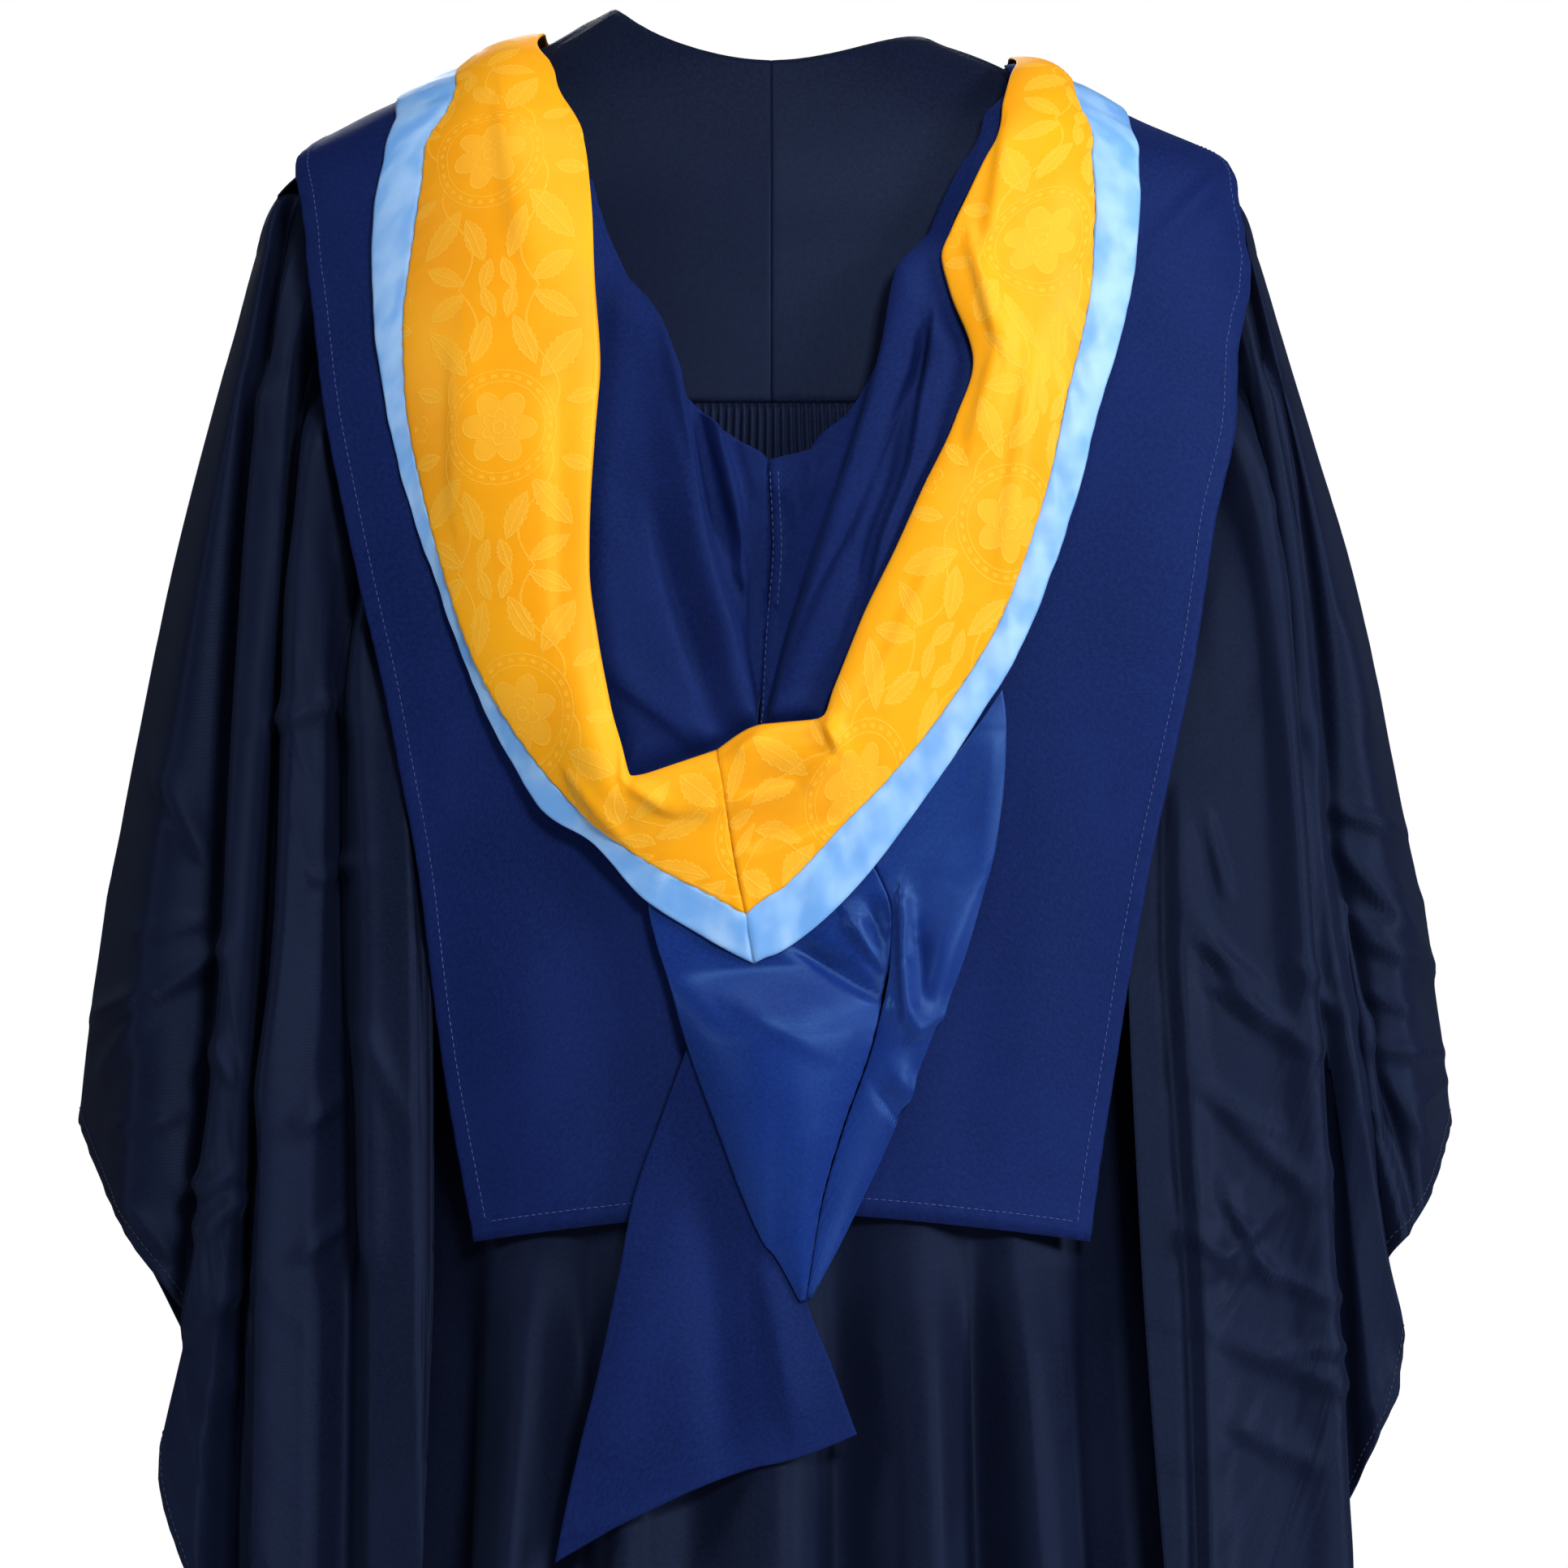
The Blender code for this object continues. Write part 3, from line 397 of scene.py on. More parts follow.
COWL_LEFT = table(
    STRIP,
    (-62, 440, 50, 426, 1, 15, 14, 0),
    (-64, 452, 56, 436, 1, 15, 14, 0),
    (-60, 472, 63, 456, 1, 15, 15, 0),
    (-55, 488, 62, 479, 1, 14.5, 15.5, 0),
    (-43, 526, 54, 522, 1, 16, 19, 17),
    (-21, 581, 38, 569, 1, 16, 19, 14),
    (0, 633, 26, 612, 1, 15, 17, 6),
    (15.5, 660, 18, 659, 1, 14, 15, 1),
)

COWL_RIGHT = table(
    STRIP,
    (49.8, 426, 121, 338, 1, 14, 8.5, 0),
    (55.8, 436, 123, 352, 1, 14, 8.5, 0),
    (62.8, 456, 122, 385, 1, 15, 9, 1),
    (61.8, 479, 117, 420, 1, 15.5, 10, 2),
    (53.8, 522, 102, 470, 1, 19, 10, 4),
    (37.8, 569, 80, 524, 1, 19, 10, 3),
    (25.8, 612, 55, 590, 1, 17, 10, 2),
    (18.6, 659, 20.5, 658, 1, 15, 14, 0),
)

LIRIPIPE = table(
    STRIP,
    (-44, 528, 8, 528, 1, 13.8, 13.8, 0),
    (-58, 566, 11, 566, 1, 12.8, 13, 0),
    (-72, 607, 14, 610, 1, 12, 12.5, 1),
    (-80, 650, 18, 655, 1, 11, 11.5, 3),
    (-90, 700, 31.5, 692, 1, 10, 12, 6),
    (-99, 735, 38.5, 711.5, 1, 10, 11, 6),
    (-106, 764, 42.5, 722.5, 1, 10, 10, 5),
    (-112, 795, 44.7, 728.5, 1, 10, 10, 4),
)


def smooth(knots, values, at):
    """Cubic through the values at the knots that never swings past them, read at each place."""
    knots = np.asarray(knots, float)
    values = np.asarray(values, float)
    rises = np.diff(values, axis=0)
    rises /= np.diff(knots).reshape(-1, *[1] * (values.ndim - 1))
    same_way = rises[:-1] * rises[1:] > 0
    both = np.where(same_way, rises[:-1] + rises[1:], 1)
    between = np.where(same_way, 2 * rises[:-1] * rises[1:] / both, 0)
    slopes = np.concatenate([rises[:1], between, rises[-1:]])
    low = np.clip(np.searchsorted(knots, at) - 1, 0, len(knots) - 2)
    span = knots[low + 1] - knots[low]
    part = np.clip((at - knots[low]) / span, 0, 1)
    if values.ndim > 1:
        span = span[..., None]
        part = part[..., None]
    start = (1 + 2 * part) * (1 - part) ** 2 * values[low] + part * (1 - part) ** 2 * span * slopes[low]
    end = part**2 * (3 - 2 * part) * values[low + 1] + part**2 * (part - 1) * span * slopes[low + 1]
    return start + end


def half_width(shape, right_side, drop):
    """Half width of a shape on one side at each drop."""
    left = smooth(shape["drop"], shape["left"], drop)
    right = smooth(shape["drop"], shape["right"], drop)
    return np.where(right_side, right, left)


def depth(behind, drop):
    """Depth of the hanging cloth behind or in front of the middle at each drop."""
    back = smooth(HANG["drop"], HANG["back"], drop)
    front = smooth(HANG["drop"], HANG["front"], drop)
    return np.where(behind, back, front)


def on_shape(shape, angle, drop):
    """Points of a shape: a rounded section at each drop, wide and deep as its tables say."""
    cosine = np.cos(np.radians(angle))
    sine = np.sin(np.radians(angle))
    across = np.sign(cosine) * np.abs(cosine) ** (2 / SECTION_POWER)
    along = np.sign(sine) * np.abs(sine) ** (2 / SECTION_POWER)
    x = across * half_width(shape, cosine >= 0, drop)
    y = -along * depth(sine >= 0, drop)
    return np.stack([x, y, -drop], axis=-1)


def unit(vectors):
    """Vectors with their lengths made 1."""
    return vectors / np.linalg.norm(vectors, axis=-1, keepdims=True)


def lifted(shape, angle, drop, lift):
    """Points moved off a shape by a lift, straight out from it."""
    angle, drop, lift = np.broadcast_arrays(angle, drop, lift)
    round_it = on_shape(shape, angle + 0.5, drop) - on_shape(shape, angle - 0.5, drop)
    down_it = on_shape(shape, angle, drop + 1) - on_shape(shape, angle, drop - 1)
    outward = unit(np.cross(round_it, down_it))
    return on_shape(shape, angle, drop) + outward * lift[..., None]


def angle_at(shape, x, drop, face):
    """Angle of the place at distance x from the middle. It grows over the left side to the front."""
    reach = np.clip(np.abs(x) / half_width(shape, x >= 0, drop), 0, 1)
    from_side = np.degrees(np.arccos(reach ** (SECTION_POWER / 2))) * face
    return np.where(x >= 0, from_side, 180 - from_side)


def armhole_angle(side, drop):
    """Angle from the side line to the armhole's edge at each drop, 0 above and below the armhole."""
    upper = ARMHOLE_WIDEST_DROP - ARMHOLE_TOP_DROP[side]
    lower = ARMHOLE_BOTTOM_DROP - ARMHOLE_WIDEST_DROP
    reach = np.where(drop < ARMHOLE_WIDEST_DROP, upper, lower)
    inside = 1 - ((drop - ARMHOLE_WIDEST_DROP) / reach) ** 2
    return ARMHOLE_ANGLE * np.sqrt(np.clip(inside, 0, 1))


def armhole_top(side, angle):
    """Drop of the armhole's upper edge at each angle from the side line."""
    upper = ARMHOLE_WIDEST_DROP - ARMHOLE_TOP_DROP[side]
    inside = np.clip(1 - (angle / ARMHOLE_ANGLE) ** 2, 0, 1)
    return ARMHOLE_WIDEST_DROP - upper * np.sqrt(inside)


def on_side(side, angle):
    """The same place on the right or on the left half of the garment."""
    return angle if side == "right" else 180 - angle


def neck_drop(side, angle):
    """Drop where a column of the yoke meets the neck opening, an oval behind and a slot in front."""
    drops = np.linspace(-44, 90, 1341)
    points = on_shape(BODY, on_side(side, np.full_like(drops, angle)), drops)
    x = np.abs(points[:, 0])
    y = points[:, 1]
    oval = (x / NECK_HALF_WIDTH) ** 2 + (y / NECK_BEHIND) ** 2
    slot = x / (NECK_HALF_WIDTH - NECK_SLOT_TAPER * np.maximum(y, 0))
    outside = np.where(y <= 0, oval, slot) >= 1
    return drops[np.argmax(outside)]


def fold_growth(drop):
    """How deep the folds of the body are at each drop, 1 at the level where the table gives them."""
    return np.maximum(0, drop - FOLD_START_DROP) / (FOLD_FULL_DROP - FOLD_START_DROP)


def back_angle(across, drop):
    """Angle of a place across the back panel, from -1 at its left edge to 1 at its right edge."""
    side_gap = np.degrees((SIDE_SEAM_GAP / 2 / depth(True, drop)) ** (SECTION_POWER / 2))
    right = np.maximum(armhole_angle("right", drop), side_gap)
    left = np.maximum(armhole_angle("left", drop), side_gap)
    return 90 - across * np.where(across > 0, 90 - right, 90 - left)


def back_points(across, drop, flutes=0.0):
    """Outer points of the back panel with its broad folds and the flutes on top of them."""
    deeper = 1 + 1.4 * smooth([0, 622, 690, 820, 1000, 1241], np.array([0, 0, 1, 0.9, 0.3, 0]), drop)
    out = smooth(BACK_FOLDS["across"], BACK_FOLDS["out"], across) * fold_growth(drop) * deeper
    return lifted(BODY, back_angle(across, drop), drop, out + flutes)


CREASE = "x1 drop1 x2 drop2 out step width"

# Creases run straight between two places. Each stands out along its line, steps from one side of it to
# the other, and fades over its width.
CAPE_CREASES = table(
    CREASE,
    (238, 60, 194, 106, 3.4, 2.6, 8),
    (234.3, 88.2, 253.5, 90.7, 1, 0.8, 4),
    (236.4, 106.5, 253.5, 112, -0.8, 1, 4),
    (237.7, 125.7, 253.5, 126.5, 1, 0.8, 4),
    (234.3, 143.6, 251.3, 147.8, 0.8, 1, 4),
    (208.7, 419.6, 186.6, 415.3, 0.3, 1, 4),
    (208.7, 450.3, 188.3, 445.2, 0.3, 1, 4),
    (-193, 396.2, -166.1, 402.6, 0.3, 1, 4),
    (-149.1, 436.6, -127.8, 607, 2.5, 0, 32),
    (-93.7, 466.5, -76.7, 594.3, -2, 0, 26),
    (149.1, 360, 136.3, 598.5, 2.5, 0, 30),
    (110.8, 479.2, 102.2, 594.3, -2, 0, 20),
    (-217.3, 155.5, -174.7, 360, 1.6, 0, 20),
    (-191.7, 155.5, -153.4, 342.9, -1.4, 0, 16),
    (217.3, 155.5, 191.7, 360, 1.8, 0, 26),
)

DRAPE_CREASES = table(
    CREASE,
    (-63.9, 147, -29.8, 249.2, 3, 1.5, 9),
    (-29.8, 249.2, -5.1, 351.4, 3.5, 1.5, 8),
    (-44.7, 189.6, -21.3, 270.5, -3, 0, 8),
    (-21.3, 270.5, -6.8, 342.9, -2.5, 0, 7),
    (-34.9, 198.1, -10.7, 270.5, 2.4, 1.2, 7),
    (-81.8, 155.5, -63.9, 253.5, 1.8, 0, 12),
    (-63.9, 253.5, -21.3, 362.1, -2.4, 0, 11),
    (-87.3, 330.1, -34.9, 371, 2.6, 1.2, 10),
    (-25.6, 270.5, -2.1, 293.9, 1, 0.8, 4),
    (-10.7, 255.6, 5.1, 269.7, -0.8, 0.8, 4),
    (85.2, 151.2, 53.2, 232.2, -3, 1.2, 9),
    (53.2, 232.2, 2.1, 338.7, -3, 1.2, 8),
    (76.7, 181, 46.9, 253.5, 3.2, 1, 9),
    (46.9, 253.5, 6.4, 330.1, 3, 1, 7),
    (63.9, 240.7, 29.8, 325.9, 2, 0, 10),
    (112.9, 44.7, 91.6, 117.1, 1.6, 1, 7),
    (21.3, 215.1, 14.9, 283.3, 1.5, 0.6, 6),
)

LINING_CREASES = table(
    CREASE,
    (104.4, 104.4, 118.4, 155.5, 2.6, 1.2, 8),
    (118.4, 155.5, 104.4, 208.7, 1.8, 0.8, 10),
    (123.5, 40.5, 112.9, 104.4, 1.4, 0.6, 8),
    (26.4, 355.7, 34.1, 370.6, 2.4, 1.6, 6),
    (34.1, 370.6, 14.9, 387.7, 1.6, 1.2, 6),
    (14.9, 387.7, -21.3, 396.2, 1.2, 0.8, 8),
    (-74.5, 390.6, -55.4, 402.6, 1.4, 1, 6),
    (-55.4, 402.6, -29.8, 402.6, 1, 0.6, 8),
    (-106.5, 383.4, -78.8, 417.5, 1.2, 1, 5),
    (-8.5, 419.6, 34.1, 402.6, -1.6, 0.8, 9),
    (-80.9, 347.2, -78.8, 387.7, 1.2, 0.8, 6),
    (-166.1, 155.5, -166.1, 249.2, 1, 0.5, 14),
    (-144.8, 27.7, -132.1, 104.4, 1, 0.5, 14),
    (-110.8, 181, -110.8, 300.3, -1, 0.4, 14),
    (136.3, 159.8, 119.3, 274.8, 1.4, 0.6, 10),
    (85.2, 270.5, 46.9, 351.4, 1, 0.6, 12),
    (-4.3, 360, -19.2, 370.6, 1.4, 1, 5),
)

COWL_CREASES = table(
    CREASE,
    (11.9, 473.3, 57.5, 499.7, -3.4, 1.6, 8),
    (40.5, 460, 60, 486, 2.4, 1.2, 8),
    (52, 452, 63, 492, -2.6, 0, 6),
    (67, 446, 68, 480, 3.2, 1.6, 6),
    (68, 480, 70, 512, 3.0, 1.6, 6),
    (78, 468, 79, 508, -3.2, 0, 7),
    (72, 520, 88, 506, 2.6, 1, 7),
    (53.2, 545.3, 69, 566.6, -1.6, 1.6, 6),
    (61.8, 538.9, 72.4, 558.1, 1.6, 1, 6),
    (102.2, 440.9, 68.2, 585.8, 2.6, 0, 16),
    (117.1, 360, 112.9, 436.6, 1.6, 0, 10),
    (4.3, 492, 0, 607, 2, 0, 28),
    (-42.6, 492, -8.5, 624.1, 1.6, 0, 14),
    (29.8, 504.8, 14.9, 607, -1.6, 0, 16),
    (-21.3, 504.8, 25.6, 530.4, 0.8, 0.6, 9),
    (-63.9, 641.1, -89.5, 743.4, 2.4, 0, 18),
    (-34, 600, -22, 742, -3.4, 0, 13),
    (-6, 641.1, 8, 720, 3, 1, 12),
    (-106.5, 781.7, -51.1, 764.7, 0.8, 0.6, 6),
)

SLEEVE_CREASES = {
    "right": table(
        CREASE,
        (300, 402.8, 341.3, 415.8, 2, 1.6, 7),
        (300, 420.2, 354.4, 483.3, 2.4, 1.8, 9),
        (308.7, 468, 367.4, 495, 2, 1.6, 8),
        (317.4, 529.8, 367.4, 535.9, 2, 1.6, 7),
        (306.5, 511.5, 326.1, 546.3, 1.8, 1.4, 8),
        (326.1, 546.3, 350, 581.1, 1.6, 1.2, 8),
        (217.3, 450.6, 258.7, 516.8, 1.8, 1.2, 9),
        (229.5, 492, 283.5, 529.8, 1.8, 1.4, 8),
        (225.2, 546.3, 282.6, 607.2, 1.8, 1.2, 9),
        (231.3, 646.4, 287.8, 594.2, 1.8, 1.4, 9),
        (234.7, 681.2, 300, 709.5, 1.6, 1.2, 9),
        (282.6, 350.6, 297.8, 407.1, 1.6, 1, 9),
        (213, 620.3, 247.8, 646.4, 1.4, 1, 8),
        (239.1, 724.7, 286.9, 750.8, 1.4, 1, 9),
        (308.7, 298.4, 321.7, 359.3, 1.4, 0.8, 10),
        (228, 402, 240, 448, 1.3, 1, 5),
        (222, 470, 262, 500, 1.2, 1, 4),
        (240, 560, 268, 574, 1.2, 1, 4),
        (298, 455, 330, 470, 1.3, 1, 5),
        (330, 440, 352, 462, 1.3, 1, 5),
        (316, 500, 346, 512, 1.2, 1, 4),
        (236, 600, 262, 652, 1.4, 1.2, 5),
        (250, 640, 296, 664, 1.2, 1, 5),
        (276, 486, 300, 512, 1.2, 1, 5),
        (262, 690, 300, 688, 1.2, 1, 5),
        (340, 700, 318, 728, 1.2, 1, 5),
        (346, 560, 372, 548, 1.2, 1, 5),
    ),
    "left": table(
        CREASE,
        (-367.7, 516.8, -326.4, 499.4, 2.2, 1.6, 8),
        (-326.4, 499.4, -286.4, 475.9, 2, 1.4, 8),
        (-361.2, 548.5, -332.9, 511.5, 1.6, 1.2, 8),
        (-309.9, 608.1, -282.9, 594.2, 1.8, 1.4, 7),
        (-267.7, 361.5, -226.4, 342.8, 1.4, 1, 9),
        (-251.6, 573.3, -226.4, 554.2, 1.4, 1.2, 8),
        (-309, 681.2, -273.3, 646.4, 1.6, 1.2, 9),
        (-330.8, 381, -304.7, 428.9, 1.4, 0.8, 12),
        (-348.2, 611.6, -319.9, 639.9, 1.2, 1, 8),
        (-287.3, 716, -273.3, 663.8, 1.4, 1, 9),
        (-230.7, 298.4, -222, 359.3, 1.2, 0.8, 10),
        (-340, 470, -300, 462, 1.2, 1, 5),
        (-352, 574, -318, 566, 1.2, 1, 5),
        (-300, 628, -276, 604, 1.3, 1.2, 5),
        (-246, 440, -214, 430, 1.1, 0.8, 6),
        (-250, 640, -222, 618, 1.2, 1, 5),
        (-300, 520, -284, 548, 1.2, 1, 5),
        (-214, 520, -196, 566, 1.1, 0.8, 7),
    ),
}

# Long folds behind: how far each stands out, its width, the side it falls off on (1 right, -1 left), and
# the places of its line from the top down.
LONG_FOLDS = {
    "sleeve_left": (
        (7, 16, -1, (-271, 150), (-276, 268), (-282, 372), (-286, 451), (-293, 559),
         (-298, 601), (-311, 690)),
        (7, 17, -1, (-242, 170), (-252, 289), (-258, 352), (-264, 476), (-268, 601),
         (-270, 684), (-272, 900)),
        (5, 13, -1, (-228, 240), (-224, 393), (-223, 476), (-216, 560), (-212, 660)),
        (5, 12, 1, (-205, 300), (-192, 400), (-188, 520), (-186, 660), (-182, 860)),
    ),
    "sleeve_right": (
        (9, 20, 1, (250, 150), (267, 289), (277, 372), (285, 476), (291, 600), (298, 766), (303, 860)),
        (9, 15, 1, (264, 150), (285, 310), (293, 414), (305, 484), (316, 538), (337, 617), (350, 700)),
        (6, 12, -1, (214, 380), (214, 470), (219, 560), (226, 680), (230, 860)),
    ),
    "drape_left": (
        (14, 20, 1, (-72, 112), (-52, 174), (-33, 263), (-14, 330), (-4, 378)),
        (6, 11, 1, (-44, 150), (-28, 200), (-16, 250), (-11, 330)),
        (-10, 24, 1, (-2, 228), (-2, 300), (-6, 372)),
        (4, 26, 1, (-74, 230), (-58, 290), (-42, 345), (-30, 385)),
    ),
    "drape_right": (
        (14, 20, -1, (80, 90), (52, 192), (28, 263), (5, 335), (-3, 378)),
        (-10, 24, -1, (-2, 228), (-2, 300), (-6, 372)),
        (7, 14, -1, (92, 120), (76, 215), (60, 262), (44, 330)),
        (2.5, 8, 1, (9, 222), (14, 250), (9, 300)),
    ),
}

BACK_CREASES = table(
    CREASE,
    (-120, 700, -128, 1180, 1.5, 0.8, 12),
    (-60, 660, -66, 1200, -1.2, 0.6, 10),
    (70, 690, 78, 1210, 1.4, 0.8, 10),
    (30, 650, 34, 1180, -1.2, 0.6, 9),
    (150, 720, 168, 1200, 1.2, 0.6, 12),
)

FRONT_CREASES = table(
    CREASE,
    (-130, 320, -110, 520, 1.2, 0.8, 12),
    (-100, 620, -120, 900, -1.2, 0.8, 12),
    (125, 360, 105, 560, 1.2, 0.8, 12),
    (110, 680, 128, 960, -1.2, 0.8, 12),
)


def measured(skin):
    """Distances over a grid: along each row from its first point, and down each column from its first."""
    across = np.zeros(skin.shape[:2])
    down = np.zeros(skin.shape[:2])
    across[:, 1:] = np.cumsum(np.linalg.norm(np.diff(skin, axis=1), axis=-1), axis=1)
    down[1:] = np.cumsum(np.linalg.norm(np.diff(skin, axis=0), axis=-1), axis=0)
    return across, down


def ringed(skin):
    """A grid that goes round, with its last column before the first and its first after the last."""
    return np.concatenate([skin[:, -1:], skin, skin[:, :1]], axis=1)


def outward(skin, closed=False):
    """Unit vectors straight out of a grid: the cross product of its two directions, turned outwards."""
    ring = ringed(skin) if closed else skin
    down_it, round_it = np.gradient(ring, axis=(0, 1))
    normal = unit(np.cross(down_it, round_it))
    if closed:
        normal = normal[:, 1:-1]
        away = skin - skin.mean(axis=1, keepdims=True)
    else:
        away = skin * [1, 1, 0] + [0, 0, 100]
    return normal * np.sign((normal * away).sum())


def creased(skin, normal, creases, behind=True, spread=1.0, finest=2.0):
    """How far the creases lift each point: a bell over the distance from each line, plus a step across it."""
    x = skin[..., 0]
    drop = -skin[..., 2]
    facing = np.clip(normal[..., 1] * (-2.5 if behind else 2.5), 0, 1)
    lift = np.zeros_like(x)
    for x1, drop1, x2, drop2, out, step, width in zip(*creases.values()):
        run_x = x2 - x1
        run_drop = drop2 - drop1
        length = np.hypot(run_x, run_drop)
        part = np.clip(((x - x1) * run_x + (drop - drop1) * run_drop) / length**2, 0, 1)
        away = np.hypot(x - x1 - part * run_x, drop - drop1 - part * run_drop)
        side = ((x - x1) * run_drop - (drop - drop1) * run_x) / length
        reach = np.maximum(np.where(side * step < 0, 0.35 * width, width) * spread, finest)
        fade = np.exp(-((away / reach) ** 2)) * (1 - 0.6 * (2 * part - 1) ** 4)
        lift += (out + step * np.clip(side / width, -2, 2)) * fade
    return lift * facing


def rolled(skin, normal, folds):
    """How far long folds lift each point: a swell beside a curved line, and a valley just past it."""
    x = skin[..., 0]
    drop = -skin[..., 2]
    lift = np.zeros_like(x)
    for out, width, steep, *places in folds:
        line = np.array(places, float)
        past = (x - smooth(line[:, 1], line[:, 0], drop)) * steep
        reach = np.where(past > 0, 0.17 * width, width)
        ends = np.clip(np.minimum(drop - line[0, 1], line[-1, 1] - drop) / 35, 0, 1)
        fold = np.exp(-((past / reach) ** 2)) - 0.4 * np.exp(-(((past - 0.45 * width) / (0.3 * width)) ** 2))
        lift += out * fold * ends**2 * (3 - 2 * ends)
    return lift * np.clip(-2.5 * normal[..., 1], 0, 1)


def seam(distance):
    """A seam's valley: the cloth turns in towards the stitching over the last two millimetres."""
    return -0.9 * np.exp(-distance / 1.1)


def hem(distance, width):
    """A hem's double cloth, half a millimetre proud up to its stitches, with a dip along them."""
    proud = 0.45 / (1 + np.exp((distance - width - 1) / 0.5))
    return proud - 0.3 * np.exp(-(((distance - width + 0.5) / 1.2) ** 2))


def puckered(distance, along, height, pitch, reach):
    """Small waves along a sewn edge, uneven in length, that die away from it."""
    turn = along / pitch * 2 * np.pi
    return height * np.sin(turn + 1.3 * np.sin(turn / 3.7)) * np.exp(-distance / reach)


def grid_quads(rows, columns, closed):
    """Corners of each quad of a grid, as rows and columns."""
    wide = columns if closed else columns - 1
    i, j = np.meshgrid(np.arange(rows - 1), np.arange(wide), indexing="ij")
    corner_rows = np.stack([i, i, i + 1, i + 1], axis=-1).reshape(-1, 4)
    corner_columns = np.stack([j, j + 1, j + 1, j], axis=-1).reshape(-1, 4)
    return corner_rows, corner_columns


def rim_quads(rows, columns, closed):
    """Quads between two skins round their open edges, as rows, columns and skins (0 outer, 1 inner)."""
    wide = columns if closed else columns - 1
    j = np.arange(wide)
    i = np.arange(rows - 1)
    last_row = np.full_like(j, rows - 1)
    last_column = np.full_like(i, columns - 1)
    sides = [
        (j * 0, j + 1, j * 0, j),
        (last_row, j, last_row, j + 1),
    ]
    if not closed:
        sides += [
            (i, i * 0, i + 1, i * 0),
            (i + 1, last_column, i, last_column),
        ]
    corner_rows = [np.stack([a, c, c, a], axis=-1) for a, _, c, _ in sides]
    corner_columns = [np.stack([b, d, d, b], axis=-1) for _, b, _, d in sides]
    corner_rows = np.concatenate(corner_rows)
    skins = np.broadcast_to([0, 0, 1, 1], corner_rows.shape)
    return corner_rows, np.concatenate(corner_columns), skins


def mesh_object(name, points, quads, uv, material):
    """An object from points in millimetres, quads and a place in the cloth for each corner."""
    mesh = bpy.data.meshes.new(name)
    mesh.vertices.add(len(points))
    mesh.vertices.foreach_set("co", (points * MILLIMETRE).ravel())
    mesh.loops.add(quads.size)
    mesh.loops.foreach_set("vertex_index", quads.ravel().astype(np.int32))
    mesh.polygons.add(len(quads))
    mesh.polygons.foreach_set("loop_start", np.arange(0, quads.size, 4, dtype=np.int32))
    layer = mesh.uv_layers.new(name="cloth")
    layer.uv.foreach_set("vector", (uv * MILLIMETRE).ravel())
    mesh.update(calc_edges=True)
    mesh.validate()
    mesh.shade_smooth()
    mesh.materials.append(material)
    thing = bpy.data.objects.new(name, mesh)
    bpy.context.scene.collection.objects.link(thing)
    return thing


def shell(name, skin, normal, wall, material, closed=False, inner=None):
    """A wall of cloth: the outer skin, a second skin one wall further in, and a rounded rim between them."""
    rows, columns = skin.shape[:2]
    if inner is None:
        inner = skin - normal * wall
    outer = skin.copy()
    inner = inner.copy()
    rim = np.zeros((rows, columns), bool)
    rim[[0, -1]] = True
    if not closed:
        rim[:, [0, -1]] = True
    squeeze = normal[rim] * wall * 0.3
    outer[rim] -= squeeze
    inner[rim] += squeeze
    ring = np.concatenate([skin, skin[:, :1]], axis=1) if closed else skin
    across, down = measured(ring)
    middle = down[:, down.shape[1] // 2]
    places = np.stack([across, np.broadcast_to(middle[:, None], across.shape)], axis=-1)
    face_rows, face_columns = grid_quads(rows, columns, closed)
    rim_rows, rim_columns, rim_skins = rim_quads(rows, columns, closed)
    size = rows * columns
    outer_quads = face_rows * columns + face_columns % columns
    inner_quads = (outer_quads + size)[:, ::-1]
    rim_faces = rim_rows * columns + rim_columns % columns + rim_skins * size
    quads = np.concatenate([outer_quads, inner_quads, rim_faces])
    uv = places[face_rows, face_columns]
    uv = np.concatenate([uv, uv[:, ::-1], places[rim_rows, rim_columns]])
    down_it, round_it = np.gradient(skin, axis=(0, 1))
    if (np.cross(round_it, down_it) * normal).sum() < 0:
        quads = quads[:, ::-1]
        uv = uv[:, ::-1]
    points = np.concatenate([outer.reshape(-1, 3), inner.reshape(-1, 3)])
    return mesh_object(name, points, quads, uv, material)


def clustered(count, share=0.5):
    """Places from 0 to 1 that lie closer together towards both ends."""
    even = np.linspace(0, 1, count)
    return even * (1 - share) + (0.5 - 0.5 * np.cos(np.pi * even)) * share


def yoke_skin(side):
    """Half of the yoke on a grid: columns from the back seam over the shoulder, rows from neck to seam."""
    part = np.concatenate([[0, 0.004, 0.01, 0.02, 0.035], np.linspace(0.06, 1, 42)])
    behind = np.degrees(np.arccos(np.cos(np.radians(ARMHOLE_ANGLE)) * part ** (SECTION_POWER / 2)))
    under = ARMHOLE_ANGLE * np.cos(np.radians(np.linspace(2, 178, 44)))
    before = np.linspace(-ARMHOLE_ANGLE, -FRONT_OPENING_ANGLE, 26)
    angles = np.concatenate([behind, under, before])
    top = np.array([neck_drop(side, angle) for angle in angles])
    bottom = np.where(angles > 0, YOKE_DROP_BEHIND, YOKE_DROP_IN_FRONT)
    below = (angles < ARMHOLE_ANGLE) & (angles > -ARMHOLE_ANGLE)
    bottom = np.where(below, np.minimum(bottom, armhole_top(side, angles)), bottom) + SEAM_LAP
    drops = top + (bottom - top) * clustered(40)[:, None]
    skin = lifted(BODY, on_side(side, angles[None, :]), drops, 0.0)
    skin[:, 0, 0] += SEAM_LAP if side == "left" else -SEAM_LAP
    return skin


